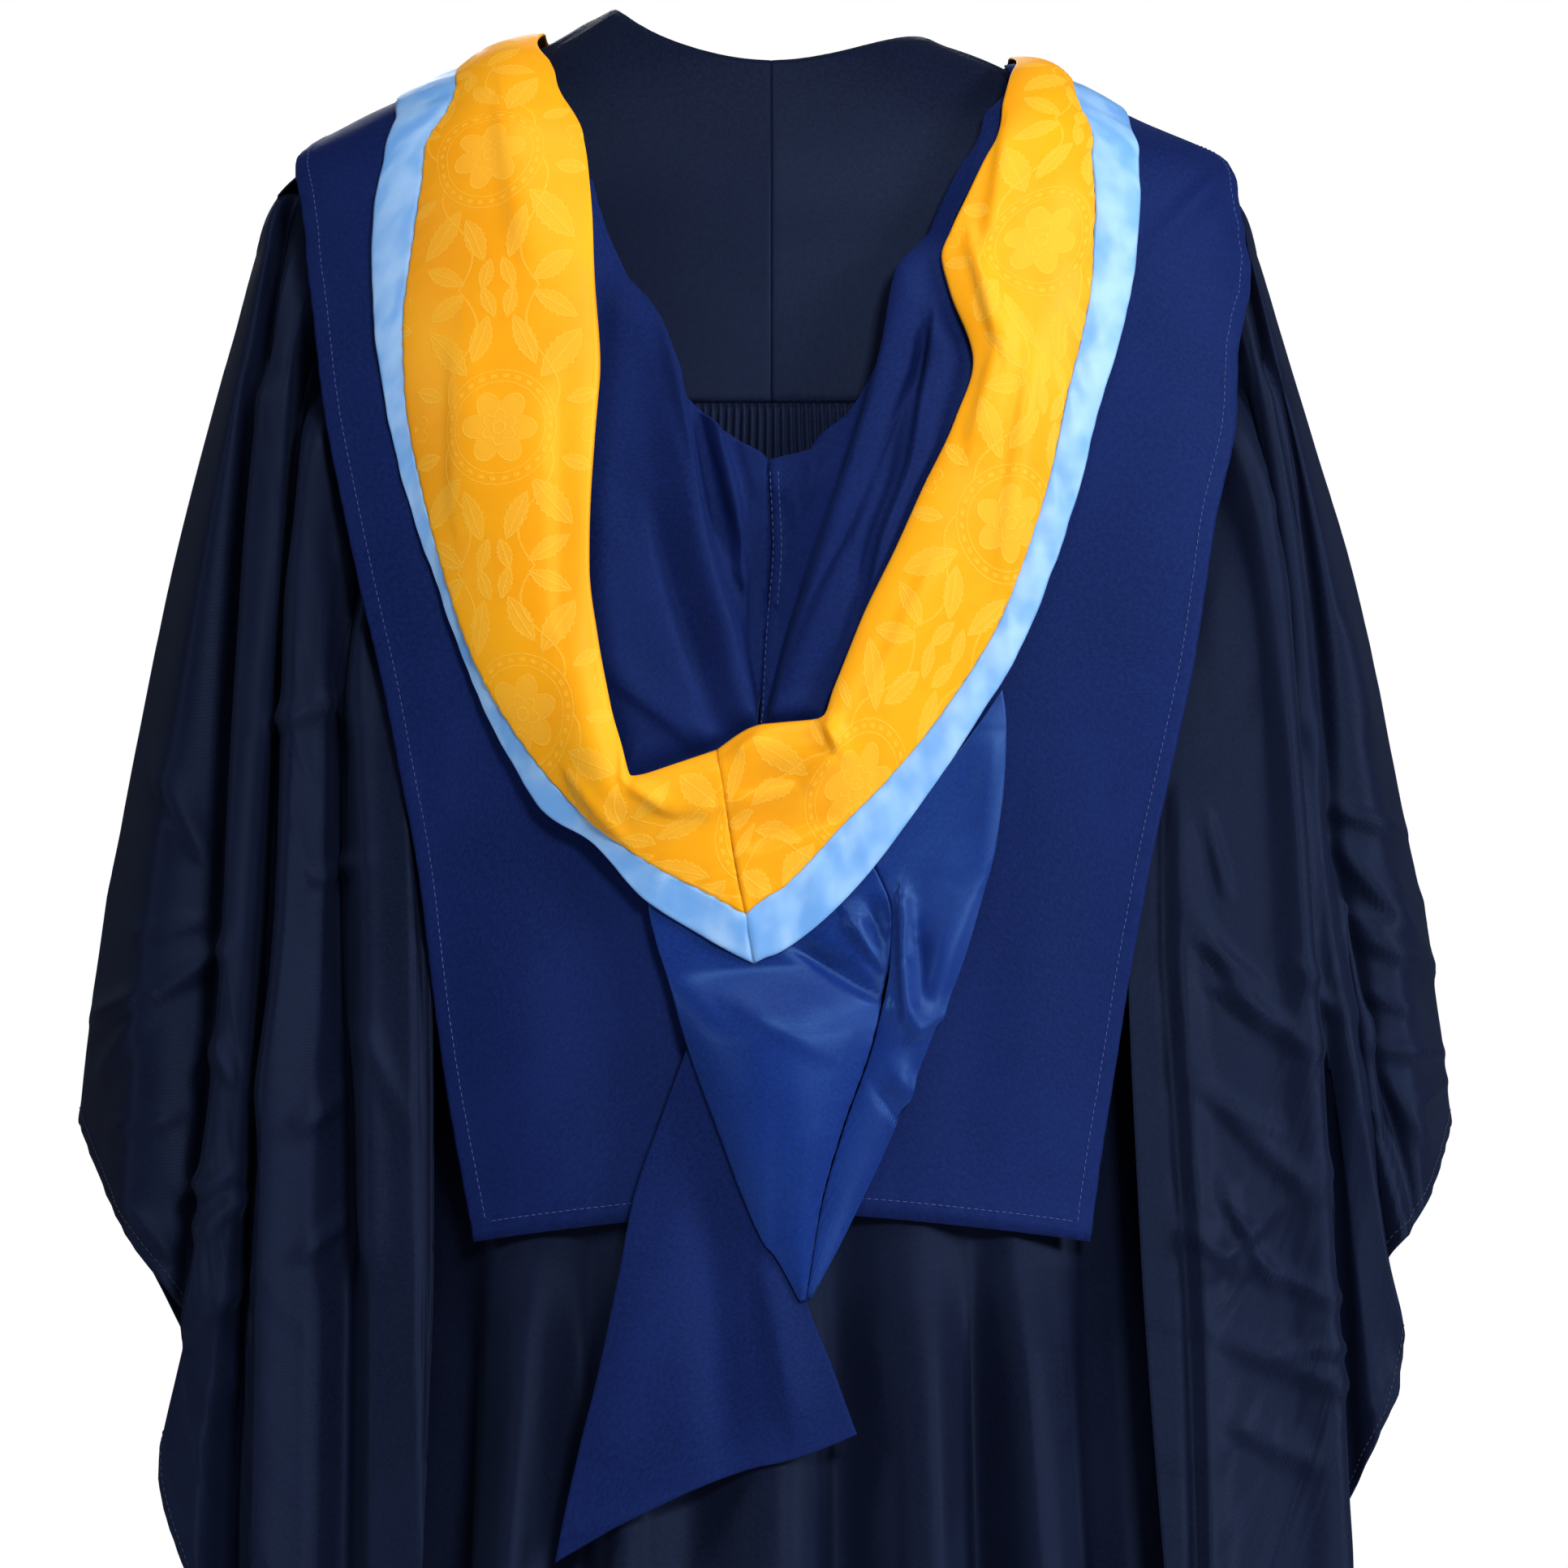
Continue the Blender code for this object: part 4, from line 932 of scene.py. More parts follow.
def make_yoke(side, wall, material):
    """A yoke half, turned in at its seams, with the neck's narrow bound edge."""
    skin = yoke_skin(side)
    normal = outward(skin)
    across, down = measured(skin)
    low = down[-1] - down
    relief = seam(across) * 0.5 + seam(low) + hem(down, 6) * 0.6 + hem(across[:, -1:] - across, 12)
    relief += puckered(across, down, 0.08, 9, 6) + puckered(low, across, 0.15, 8, 7)
    relief += 0.6 * np.sin(across / 45) ** 2 * np.sin(down / 41 + 1)
    skin = skin + normal * relief[..., None]
    return shell(f"yoke_{side}", skin, outward(skin), wall, material), skin, normal


def flute_relief(columns, per_flute, drops, height):
    """Cartridge flutes: round ridges with tight valleys, that open and die away below the yoke."""
    phase = columns / per_flute
    ridge = np.abs(np.sin(np.pi * phase)) ** 0.7
    strength = smooth([187, 225, 255, 300, 345], np.array([1, 1, 0.75, 0.2, 0]), drops)
    uneven = 1 + 0.12 * np.sin(np.floor(phase) * 2.4)
    return height * ridge * uneven * strength


def make_back(wall, material):
    """The back panel: cartridge flutes under the yoke that open into broad folds and fine creases."""
    per_flute = 5
    columns = np.arange(FLUTE_COUNT * per_flute + 1)
    x = (columns / per_flute - FLUTE_COUNT / 2) * FLUTE_PITCH
    top = YOKE_DROP_BEHIND
    fluted_angle = angle_at(BODY, x, YOKE_DROP_BEHIND, 1)
    right_span = 90 - armhole_angle("right", np.array(top))
    left_span = 90 - armhole_angle("left", np.array(top))
    fluted = np.where(x > 0, (90 - fluted_angle) / right_span, (90 - fluted_angle) / left_span)
    side = np.linspace(fluted[-1], 1, 31)[1:]
    across = np.concatenate([-side[::-1], fluted, side])[None, :]
    upper = np.linspace(top, 300, 26)
    lower = 300 + (HEM_DROP - 300) * clustered(74, 0.3)[1:]
    drops = np.concatenate([upper, lower])[:, None]
    pad = np.zeros((len(drops), len(side)))
    flutes = flute_relief(columns[None, :], per_flute, drops, FLUTE_HEIGHT)
    flutes = np.concatenate([pad, flutes, pad], axis=1)
    plain = back_points(across, drops)
    normal = outward(plain)
    inner = plain - normal * wall
    step, down = measured(plain)
    low = down[-1] - down
    relief = creased(plain, normal, BACK_CREASES) + hem(low, GOWN_HEM_WIDTH) + seam(down)
    relief += seam(step) + seam(step[:, -1:] - step) + puckered(low, step, 0.25, 13, 12)
    relief += 0.7 * np.sin(plain[..., 0] / 9 + np.sin(drops / 90)) * np.clip((drops - 330) / 300, 0, 1)
    relief = np.maximum(relief, -0.9)
    skin = plain + normal * (relief + flutes)[..., None]
    inner = inner + normal * np.minimum(relief, 0)[..., None]
    return shell("back_panel", skin, normal, wall, material, inner=inner), skin, normal


def make_front(side, wall, material):
    """An open front with soft folds, a wide facing at its open edge and a hem."""
    drops = np.linspace(YOKE_DROP_IN_FRONT, HEM_DROP, 90)[:, None]
    across = clustered(42, 0.4)[None, :]
    side_gap = np.degrees((SIDE_SEAM_GAP / 2 / depth(False, drops)) ** (SECTION_POWER / 2))
    start = np.maximum(armhole_angle(side, drops), side_gap)
    angles = -(start + across * (FRONT_OPENING_ANGLE - start))
    out = smooth(FRONT_FOLDS["across"], FRONT_FOLDS["out"], across) * fold_growth(drops)
    skin = lifted(BODY, on_side(side, angles), drops, out)
    normal = outward(skin)
    step, down = measured(skin)
    open_edge = step[:, -1:] - step
    low = down[-1] - down
    relief = creased(skin, normal, FRONT_CREASES, behind=False) + hem(low, GOWN_HEM_WIDTH)
    relief += hem(open_edge, FACING_WIDTH) * 0.7
    relief += seam(step) + seam(down) + puckered(open_edge, down, 0.2, 14, 14)
    relief += puckered(down, step, 0.35, 11, 18)
    skin = skin + normal * relief[..., None]
    return shell(f"front_{side}", skin, outward(skin), wall, material), skin, normal


def sleeve_skin(side, down):
    """A bell sleeve on a grid: columns follow the fold lines from the armhole, rows run to the hem."""
    folds = SLEEVE_FOLDS[side]
    sign = 1 if side == "right" else -1
    names = [f"x{int(level)}" for level in LEVELS] + ["face", "out", "hem", "turn"]
    lines = np.stack([folds[name] for name in names], axis=-1)
    count = len(lines)
    whole_turn = np.zeros(len(names))
    whole_turn[-1] = 360
    around = np.concatenate([lines[-3:] - whole_turn, lines, lines[:3] + whole_turn])
    places = np.concatenate([np.arange(140) / 14, 10 + np.arange(5 * (count - 10)) / 5])
    columns = smooth(np.arange(-3, count + 3), around, places)
    widths, face, out, hem_drop, turn = np.split(columns, [6, 7, 8, 9], axis=1)
    face, out, hem_drop, turn = (values[:, 0] for values in (face, out, hem_drop, turn))
    top_drop = ARMHOLE_TOP_DROP[side]
    cosine = np.cos(np.radians(turn))
    reach = np.where(cosine > 0, ARMHOLE_WIDEST_DROP - top_drop, ARMHOLE_BOTTOM_DROP - ARMHOLE_WIDEST_DROP)
    head_drop = ARMHOLE_WIDEST_DROP - (reach - SLEEVE_HEAD_GAP) * cosine
    gap_angle = SLEEVE_HEAD_GAP / (depth(True, ARMHOLE_WIDEST_DROP) * np.radians(1))
    head_angle = (ARMHOLE_ANGLE - gap_angle) * np.sin(np.radians(turn))
    head = lifted(BODY, on_side(side, head_angle), head_drop, 0.0)
    drops = head_drop + (hem_drop - head_drop) * down[:, None]
    x = np.stack([smooth(LEVELS, widths[i], drops[:, i]) for i in range(len(turn))], axis=1)
    hang = half_width(HANG, side == "right", drops)
    x = np.minimum(x, hang - 1)
    rounding = (1 - (x / hang) ** SECTION_POWER) ** (1 / SECTION_POWER)
    reach_y = depth(face >= 0, drops) * rounding
    y = -(face * reach_y + np.where(face < -0.5, -out, out))
    hanging = np.stack([sign * x, y, -drops], axis=-1)
    fall = drops - head_drop
    blend = 1 - np.exp(-fall / (30 - 15 * cosine))
    skin = hanging.copy()
    skin[..., :2] = head[..., :2] + blend[..., None] * (hanging[..., :2] - head[..., :2])
    return skin


def make_sleeve(side, wall, material):
    """A bell sleeve with its folds, wrinkles, set-in head and hemmed mouth."""
    down = np.concatenate([np.linspace(0, 0.06, 12)[:-1], 0.06 + 0.94 * clustered(219, 0.15)])
    skin = sleeve_skin(side, down)
    normal = outward(skin, True)
    step, fall = measured(skin)
    low = fall[-1] - fall
    creases = SLEEVE_CREASES[side]
    relief = creased(skin, normal, creases, finest=SLEEVE_CREASE_REACH) * 1.2
    relief += creased(skin, normal, creases, spread=0.6, finest=SLEEVE_CREASE_REACH) * 1.2
    relief += creased(skin, normal, creases, behind=False, spread=2.2) * 0.8
    relief += rolled(skin, normal, LONG_FOLDS[f"sleeve_{side}"])
    relief += (
        hem(low, SLEEVE_HEM_WIDTH)
        + seam(fall)
        + puckered(low, step, 0.35, 15, 16)
        + puckered(fall, step, 0.4, 9, 14)
    )
    skin = skin + normal * relief[..., None]
    normal = outward(skin, True)
    return shell(f"sleeve_{side}", skin, normal, wall, material, closed=True), skin, normal


def strip_skin(rows, along, across):
    """A strip of the hood on a grid between two rails that follow the hanging cloth."""
    rails = []
    for rail in "12":
        rails.append(angle_at(HANG, rows["x" + rail], rows["drop" + rail], rows["face"]))
        rails += [rows["drop" + rail], rows["lift" + rail]]
    rails.append(rows["swell"])
    knots = np.arange(len(rows["face"]))
    grid = smooth(knots, np.stack(rails, axis=-1), np.linspace(0, knots[-1], along))
    part = clustered(across, 0.4)
    mixed = grid[:, None, :3] + (grid[:, None, 3:6] - grid[:, None, :3]) * part[None, :, None]
    swell = grid[:, 6:] * 4 * part * (1 - part)
    return lifted(HANG, mixed[..., 0], mixed[..., 1], mixed[..., 2] + swell)


def strip_edges(skin):
    """Distances of each point of a strip from its inner rail, outer rail, start and end."""
    across, down = measured(skin)
    return across, across[:, -1:] - across, down, down[-1] - down


def finish_strip(name, skin, relief, wall, material):
    """A strip's shell with its relief, and the skin and normals that its stitches lie on."""
    skin = skin + outward(skin) * relief[..., None]
    normal = outward(skin)
    return shell(name, skin, normal, wall, material), skin, normal


def make_cape(side, wall, material):
    """Half of the hood's cape, hemmed at its outer rail and its end."""
    skin = strip_skin(CAPE_LEFT if side == "left" else CAPE_RIGHT, 176, 62)
    inner, outer, start, end = strip_edges(skin)
    relief = hem(outer, CAPE_HEM_WIDTH) + hem(end, CAPE_HEM_WIDTH) + seam(start) * 0.5
    relief += puckered(outer, start, 0.3, 17, 12) + puckered(end, inner, 0.3, 15, 12)
    relief += creased(skin, outward(skin), CAPE_CREASES)
    return finish_strip(f"cape_{side}", skin, relief, wall, material)


def make_drape(side, wall, material):
    """The blue inner cloth on one side of the seam below the neck, with its radiating folds."""
    rows = DRAPE_LEFT if side == "left" else DRAPE_RIGHT
    skin = strip_skin(rows, 170, 64)
    inner, outer, start, end = strip_edges(skin)
    drop = -skin[..., 2]
    sewn = 1 / (1 + np.exp((222 - drop) / 3))
    tucked = np.exp(-((np.minimum(outer, end) / 9) ** 2))
    normal = outward(skin)
    folds = creased(skin, normal, DRAPE_CREASES) + rolled(skin, normal, LONG_FOLDS[f"drape_{side}"])
    relief = seam(inner) * sewn * 0.6 + np.maximum(folds, -np.clip((drop - 222) / 8, 1, 9)) * (1 - tucked)
    relief -= 5.5 * tucked * np.clip((drop - 90) / 60, 0, 1)
    relief += puckered(inner, start, 0.25, 8, 9)
    if side == "right":
        allowance = sewn / (1 + np.exp((inner - 6) / 0.4)) / (1 + np.exp((1 - inner) / 0.3))
        relief += 1.0 * allowance * np.exp(-np.maximum(drop - 260, 0) / 45)
    return finish_strip(f"drape_{side}", skin, relief, wall, material)


def make_lining(side, wall, material):
    """The yellow lining on one side, turned out, from its seam at the bottom over the shoulder."""
    skin = strip_skin(LINING_LEFT if side == "left" else LINING_RIGHT, 230, 42)
    inner, outer, start, end = strip_edges(skin)
    bottom = end if side == "left" else start
    relief = (seam(outer) + seam(bottom)) * 0.5 + creased(skin, outward(skin), LINING_CREASES) * 2.2
    relief -= 2.6 * np.exp(-inner / 2.2) * np.clip((-skin[..., 2] - 90) / 60, 0, 1)
    relief += puckered(outer, start, 0.35, 11, 8) + puckered(bottom, inner, 0.3, 9, 8)
    relief += 0.8 * np.sin(start / 31) * np.sin(inner / 19 + start / 60)
    pouch = smooth([0, 260, 300, 340, 385, 500], [0, 0, 0.15, 0.6, 1, 1], -skin[..., 2])
    relief += 9 * np.exp(-(((inner - 12) / 17) ** 2)) * pouch
    return finish_strip(f"lining_{side}", skin, relief, wall, material)


def make_ribbon(side, wall, material):
    """The light-blue ribbon on one side, slightly waved by its seam."""
    rows = dict(RIBBON_LEFT if side == "left" else RIBBON_RIGHT)
    sewn_to = LINING_LEFT if side == "left" else LINING_RIGHT
    for label, shift in (("x", 0.8 if side == "left" else -0.8), ("drop", -0.6), ("lift", -0.8)):
        rows[label + "1"] = sewn_to[label + "2"] + shift
    skin = strip_skin(rows, 260, 14)
    inner, outer, start, end = strip_edges(skin)
    bottom = end if side == "left" else start
    relief = seam(bottom) * 0.4 + puckered(inner, start, 0.35, 19, 30) * (1 - np.exp(-inner / 3))
    relief += 0.45 * np.sin(start / 7.3 + 2 * np.sin(start / 41)) * np.clip(inner / 8, 0, 1)
    return finish_strip(f"ribbon_{side}", skin, relief, wall, material)


def make_cowl(name, rows, along, across, wall, material):
    """A panel of the cowl or the liripipe, with its folds and turned edges."""
    skin = strip_skin(rows, along, across)
    inner, outer, start, end = strip_edges(skin)
    sewn = outer if name == "cowl_left" else inner
    relief = creased(skin, outward(skin), COWL_CREASES) * 1.6
    if name == "liripipe":
        relief += hem(end, 5) + hem(outer, 3) * 0.6
    else:
        relief += seam(sewn) * 0.5 + puckered(sewn, start, 0.2, 10, 8)
    return finish_strip(name, skin, relief, wall, material)


def inset_line(skin, normal, distance, inset):
    """The line over a grid that stays at one distance from a side. Distance grows along each row."""
    hit = np.argmax(distance >= inset, axis=1)
    rows = np.nonzero(hit > 0)[0]
    hit = hit[rows]
    before = distance[rows, hit - 1]
    part = ((inset - before) / (distance[rows, hit] - before))[:, None]
    points = skin[rows, hit - 1] * (1 - part) + skin[rows, hit] * part
    return points, normal[rows, hit]


def edge_line(skin, normal, edge, inset):
    """The line at an inset from a grid's first or last column or row."""
    if edge in ("start", "end"):
        skin = skin.transpose(1, 0, 2)
        normal = normal.transpose(1, 0, 2)
    if edge in ("last", "end"):
        skin = skin[:, ::-1]
        normal = normal[:, ::-1]
    distance, _ = measured(skin)
    return inset_line(skin, normal, distance, inset)


def stitches(name, lines, pitch, length, radius, material):
    """Thread stitches along lines: each a small six-sided tube that rises from the cloth and dips back."""
    part = np.linspace(0, 1, 4)
    turn = np.radians(np.arange(6) * 60)
    tubes = []
    for points, normal, skip in lines:
        reach = np.concatenate([[0], np.cumsum(np.linalg.norm(np.diff(points, axis=0), axis=1))])
        at = np.arange(skip, reach[-1] - skip - length, pitch)[:, None] + part * length
        middle = np.stack([np.interp(at, reach, points[:, k]) for k in range(3)], axis=-1)
        out = unit(np.stack([np.interp(at, reach, normal[:, k]) for k in range(3)], axis=-1))
        side = unit(np.cross((middle[:, -1] - middle[:, 0])[:, None], out))
        arch = 1 - (2 * part - 1) ** 2
        thick = radius * np.sqrt(arch * 0.85 + 0.15)
        ring = out[:, :, None] * (np.cos(turn)[:, None] * thick[:, None, None] + radius * arch[:, None, None])
        ring = ring + side[:, :, None] * (np.sin(turn)[:, None] * thick[:, None, None])
        tubes.append(middle[:, :, None] + ring)
    tubes = np.concatenate(tubes)
    count = len(tubes)
    i, j = np.meshgrid(np.arange(3), np.arange(6), indexing="ij")
    wrap = (j + 1) % 6
    sides = np.stack([i * 6 + j, i * 6 + wrap, i * 6 + 6 + wrap, i * 6 + 6 + j], axis=-1).reshape(-1, 4)
    caps = np.array([[0, 5, 4, 3], [0, 3, 2, 1], [18, 19, 20, 21], [18, 21, 22, 23]])
    one = np.concatenate([sides, caps])
    quads = (one[None] + np.arange(count)[:, None, None] * 24).reshape(-1, 4)
    corners = tubes.reshape(-1, 3)[quads[: len(one)]]
    spin = np.cross(corners[:, 1] - corners[:, 0], corners[:, 2] - corners[:, 0])
    if (spin * (corners.mean(axis=1) - tubes[0].mean(axis=(0, 1)))).sum() < 0:
        quads = quads[:, ::-1]
    places = np.stack(np.broadcast_arrays(part[:, None] * length, turn), axis=-1).reshape(-1, 2)
    uv = np.tile(places[one], (count, 1, 1))
    return mesh_object(name, tubes.reshape(-1, 3), quads, uv, material)


class Nodes:
    """Adds nodes to a shader tree and links them."""

    def __init__(self, tree):
        self.tree = tree

    def add(self, kind, **settings):
        node = self.tree.nodes.new(kind)
        for name, value in settings.items():
            setattr(node, name, value)
        return node

    def put(self, socket, value):
        """Links a socket to an input, or gives the input a value."""
        if isinstance(value, bpy.types.NodeSocket):
            self.tree.links.new(value, socket)
        elif value is not None:
            socket.default_value = value

    def math(self, operation, a, b=None, c=None, clamp=False):
        node = self.add("ShaderNodeMath", operation=operation, use_clamp=clamp)
        for socket, value in zip(node.inputs, (a, b, c)):
            self.put(socket, value)
        return node.outputs[0]

    def between(self, value, low, high, start=0.0, end=1.0):
        """A smooth step from start to end as the value goes from low to high."""
        node = self.add("ShaderNodeMapRange", interpolation_type="SMOOTHSTEP")
        for name, given in (
            ("Value", value),
            ("From Min", low),
            ("From Max", high),
            ("To Min", start),
            ("To Max", end),
        ):
            self.put(node.inputs[name], given)
        return node.outputs["Result"]

    def mix(self, part, first, second):
        node = self.add("ShaderNodeMix", data_type="RGBA")
        self.put(node.inputs["Factor"], part)
        self.put(node.inputs[6], first)
        self.put(node.inputs[7], second)
        return node.outputs[2]

    def noise(self, vector, scale, detail=2.0, rough=0.5):
        node = self.add("ShaderNodeTexNoise")
        self.put(node.inputs["Vector"], vector)
        self.put(node.inputs["Scale"], scale)
        self.put(node.inputs["Detail"], detail)
        self.put(node.inputs["Roughness"], rough)
        return node.outputs["Fac"]

    def split(self, vector):
        node = self.add("ShaderNodeSeparateXYZ")
        self.put(node.inputs[0], vector)
        return node.outputs[0], node.outputs[1]

    def join(self, x, y):
        node = self.add("ShaderNodeCombineXYZ")
        self.put(node.inputs[0], x)
        self.put(node.inputs[1], y)
        return node.outputs[0]


def new_group(name, inputs, outputs):
    """An empty shader node group with its sockets, or None if it has been made before."""
    if name in bpy.data.node_groups:
        return None
    tree = bpy.data.node_groups.new(name, "ShaderNodeTree")
    for label, kind, value in inputs:
        socket = tree.interface.new_socket(name=label, in_out="INPUT", socket_type=kind)
        if value is not None:
            socket.default_value = value
    for label in outputs:
        tree.interface.new_socket(name=label, in_out="OUTPUT", socket_type="NodeSocketFloat")
    return tree


def weave_group():
    """Woven threads: two sine waves crossed for plain cloth, or one slanting wave for twill, with slubs."""
    tree = new_group(
        "Cloth weave",
        [
            ("Cloth", "NodeSocketVector", None),
            ("Threads", "NodeSocketFloat", 1500.0),
            ("Twill", "NodeSocketFloat", 0.0),
            ("Slub", "NodeSocketFloat", 0.3),
        ],
        ["Height", "Slubs", "Tone"],
    )
    if tree is None:
        return bpy.data.node_groups["Cloth weave"]
    n = Nodes(tree)
    given = n.add("NodeGroupInput").outputs
    result = n.add("NodeGroupOutput").inputs
    x, y = n.split(given["Cloth"])
    turns = n.math("MULTIPLY", given["Threads"], 2 * np.pi)
    warp = n.math("SINE", n.math("MULTIPLY", x, turns))
    weft = n.math("SINE", n.math("MULTIPLY", y, turns))
    plain = n.math("MULTIPLY", warp, weft)
    slant = n.math("SINE", n.math("MULTIPLY", n.math("ADD", x, y), turns))
    woven = n.math("ADD", n.math("MULTIPLY", plain, n.math("SUBTRACT", 1.0, given["Twill"])),
                   n.math("MULTIPLY", slant, given["Twill"]))
    long_threads = n.noise(n.join(n.math("MULTIPLY", x, 320.0), n.math("MULTIPLY", y, 1500.0)), 1.0, 3.0)
    high_threads = n.noise(n.join(n.math("MULTIPLY", x, 1500.0), n.math("MULTIPLY", y, 320.0)), 1.0, 3.0)
    slubs = n.math("ADD", long_threads, high_threads)
    slubs = n.math("SUBTRACT", slubs, 1.0)
    height = n.math("ADD", n.math("MULTIPLY", woven, 0.5), n.math("MULTIPLY", slubs, given["Slub"]))
    n.put(result["Height"], height)
    n.put(result["Slubs"], slubs)
    n.put(result["Tone"], n.noise(given["Cloth"], 9.0, 4.0, 0.55))
    return tree


def damask_group():
    """A figure in half-drop repeats: a flower in a beaded ring, a smaller one, toothed leaves, stems."""
    tree = new_group(
        "Damask figure",
        [
            ("Cloth", "NodeSocketVector", None),
            ("Width", "NodeSocketFloat", 0.105),
            ("Height", "NodeSocketFloat", 0.15),
        ],
        ["Figure", "Hatch", "Outline"],
    )
    if tree is None:
        return bpy.data.node_groups["Damask figure"]
    n = Nodes(tree)
    given = n.add("NodeGroupInput").outputs
    result = n.add("NodeGroupOutput").inputs
    x, y = n.split(given["Cloth"])
    column = n.math("DIVIDE", x, given["Width"])
    odd = n.math("MODULO", n.math("FLOOR", column), 2.0)
    row = n.math("ADD", n.math("DIVIDE", y, given["Height"]), n.math("MULTIPLY", odd, 0.5))
    cell_x = n.math("MULTIPLY", n.math("SUBTRACT", n.math("FRACT", column), 0.5), given["Width"])
    cell_y = n.math("MULTIPLY", n.math("SUBTRACT", n.math("FRACT", row), 0.5), given["Height"])
    radius = n.math("SQRT", n.math("ADD", n.math("POWER", cell_x, 2.0), n.math("POWER", cell_y, 2.0)))
    turn = n.math("ARCTAN2", cell_y, cell_x)

    def line(distance, half):
        """A soft-edged line where a distance is small."""
        return n.between(n.math("ABSOLUTE", distance), half, half * 0.45)

    def petals(count, base, reach, twist=0.0):
        wave = n.math("ABSOLUTE", n.math("COSINE", n.math("MULTIPLY_ADD", turn, count / 2, twist)))
        return n.math("MULTIPLY_ADD", wave, reach, base)

    outer_petals = n.math("SUBTRACT", radius, petals(6, 0.0125, 0.0075))
    inner_petals = n.math("SUBTRACT", radius, petals(6, 0.006, 0.0035, 1.5708))
    heart = n.math("SUBTRACT", radius, 0.0032)
    outline = n.math("MAXIMUM", line(outer_petals, 0.0008), line(inner_petals, 0.0007))
    outline = n.math("MAXIMUM", outline, line(heart, 0.0007))
    beads = n.between(n.math("SINE", n.math("MULTIPLY", turn, 26.0)), -0.2, 0.3)
    beads = n.math("MULTIPLY", line(n.math("SUBTRACT", radius, 0.0275), 0.0014), beads)
    outline = n.math("MAXIMUM", outline, beads)
    for ring in (0.0245, 0.0305):
        outline = n.math("MAXIMUM", outline, line(n.math("SUBTRACT", radius, ring), 0.0005))
    corner_x = n.math("SUBTRACT", n.math("ABSOLUTE", cell_x), 0.0525)
    corner_y = n.math("ABSOLUTE", cell_y)
    corner = n.math("SQRT", n.math("ADD", n.math("POWER", corner_x, 2.0), n.math("POWER", corner_y, 2.0)))
    corner_turn = n.math("ARCTAN2", corner_y, corner_x)
    small = n.math("ABSOLUTE", n.math("COSINE", n.math("MULTIPLY", corner_turn, 2.5)))
    small = n.math("SUBTRACT", corner, n.math("MULTIPLY_ADD", small, 0.004, 0.0055))
    small = n.math("MAXIMUM", line(small, 0.0007), n.between(corner, 0.002, 0.0014))
    outline = n.math("MAXIMUM", outline, small)
    filled = n.between(outer_petals, 0.0004, -0.0004)

    quarter_x = n.math("ABSOLUTE", cell_x)
    quarter_y = n.math("ABSOLUTE", cell_y)

    def leaf(centre_x, centre_y, slope, half_length, half_width):
        """Distance outside a toothed leaf: the gap from its middle line less its width there."""
        cosine, sine = float(np.cos(slope)), float(np.sin(slope))
        away_x = n.math("SUBTRACT", quarter_x, centre_x)
        away_y = n.math("SUBTRACT", quarter_y, centre_y)
        along = n.math("ADD", n.math("MULTIPLY", away_x, cosine), n.math("MULTIPLY", away_y, sine))
        aside = n.math("SUBTRACT", n.math("MULTIPLY", away_y, cosine), n.math("MULTIPLY", away_x, sine))
        part = n.math("DIVIDE", along, half_length)
        width = n.math("SUBTRACT", 1.0, n.math("POWER", n.math("ABSOLUTE", part), 2.0))
        width = n.math("MULTIPLY", width, half_width)
        teeth = n.math("MULTIPLY", n.math("ABSOLUTE", n.math("SINE", n.math("MULTIPLY", part, 11.0))), 0.22)
        width = n.math("MULTIPLY", width, n.math("SUBTRACT", 1.12, teeth))
        vein = n.math("MULTIPLY", line(aside, 0.0006), n.between(n.math("ABSOLUTE", part), 0.92, 0.85))
        return n.math("SUBTRACT", n.math("ABSOLUTE", aside), width), vein

    for centre_x, centre_y, slope, half_length, half_width in (
        (0.031, 0.040, 0.85, 0.0165, 0.0068),
        (0.012, 0.047, 1.95, 0.0135, 0.0052),
        (0.043, 0.018, 0.30, 0.0085, 0.0038),
        (0.030, 0.0655, 2.60, 0.0125, 0.0050),
        (0.006, 0.0675, 1.25, 0.0085, 0.0036),
    ):
        edge, vein = leaf(centre_x, centre_y, slope, half_length, half_width)
        outline = n.math("MAXIMUM", outline, n.math("MAXIMUM", line(edge, 0.0008), vein))
        filled = n.math("MAXIMUM", filled, n.between(edge, 0.0003, -0.0004))
    sway = n.math("MULTIPLY", n.math("SINE", n.math("MULTIPLY", quarter_y, 84.0)), 0.0085)
    stem = line(n.math("SUBTRACT", n.math("SUBTRACT", quarter_x, 0.022), sway), 0.0009)
    stem = n.math("MULTIPLY", stem, n.between(radius, 0.029, 0.031))
    outline = n.math("MAXIMUM", outline, stem)
    hatch = n.math("SINE", n.math("MULTIPLY", n.math("ADD", x, n.math("MULTIPLY", y, 0.6)), 5200.0))
    n.put(result["Figure"], filled)
    n.put(result["Hatch"], n.math("MULTIPLY", filled, n.math("MULTIPLY_ADD", hatch, 0.5, 0.5)))
    n.put(result["Outline"], outline)
    return tree


def new_material(name, constants):
    """A material with its own Principled shader, whose constant values stay on its own sockets."""
    material = bpy.data.materials.new(name)
    material.use_nodes = True
    n = Nodes(material.node_tree)
    shader = material.node_tree.nodes["Principled BSDF"]
    for label, value in constants.items():
        shader.inputs[label].default_value = value
    return material, n, shader


def woven(n, threads, twill, slub):
    """The weave group placed in a material, reading the piece's own cloth map."""
    place = n.add("ShaderNodeUVMap", uv_map="cloth").outputs[0]
    node = n.add("ShaderNodeGroup", node_tree=weave_group())
    for label, value in (("Cloth", place), ("Threads", threads), ("Twill", twill), ("Slub", slub)):
        n.put(node.inputs[label], value)
    return place, node.outputs


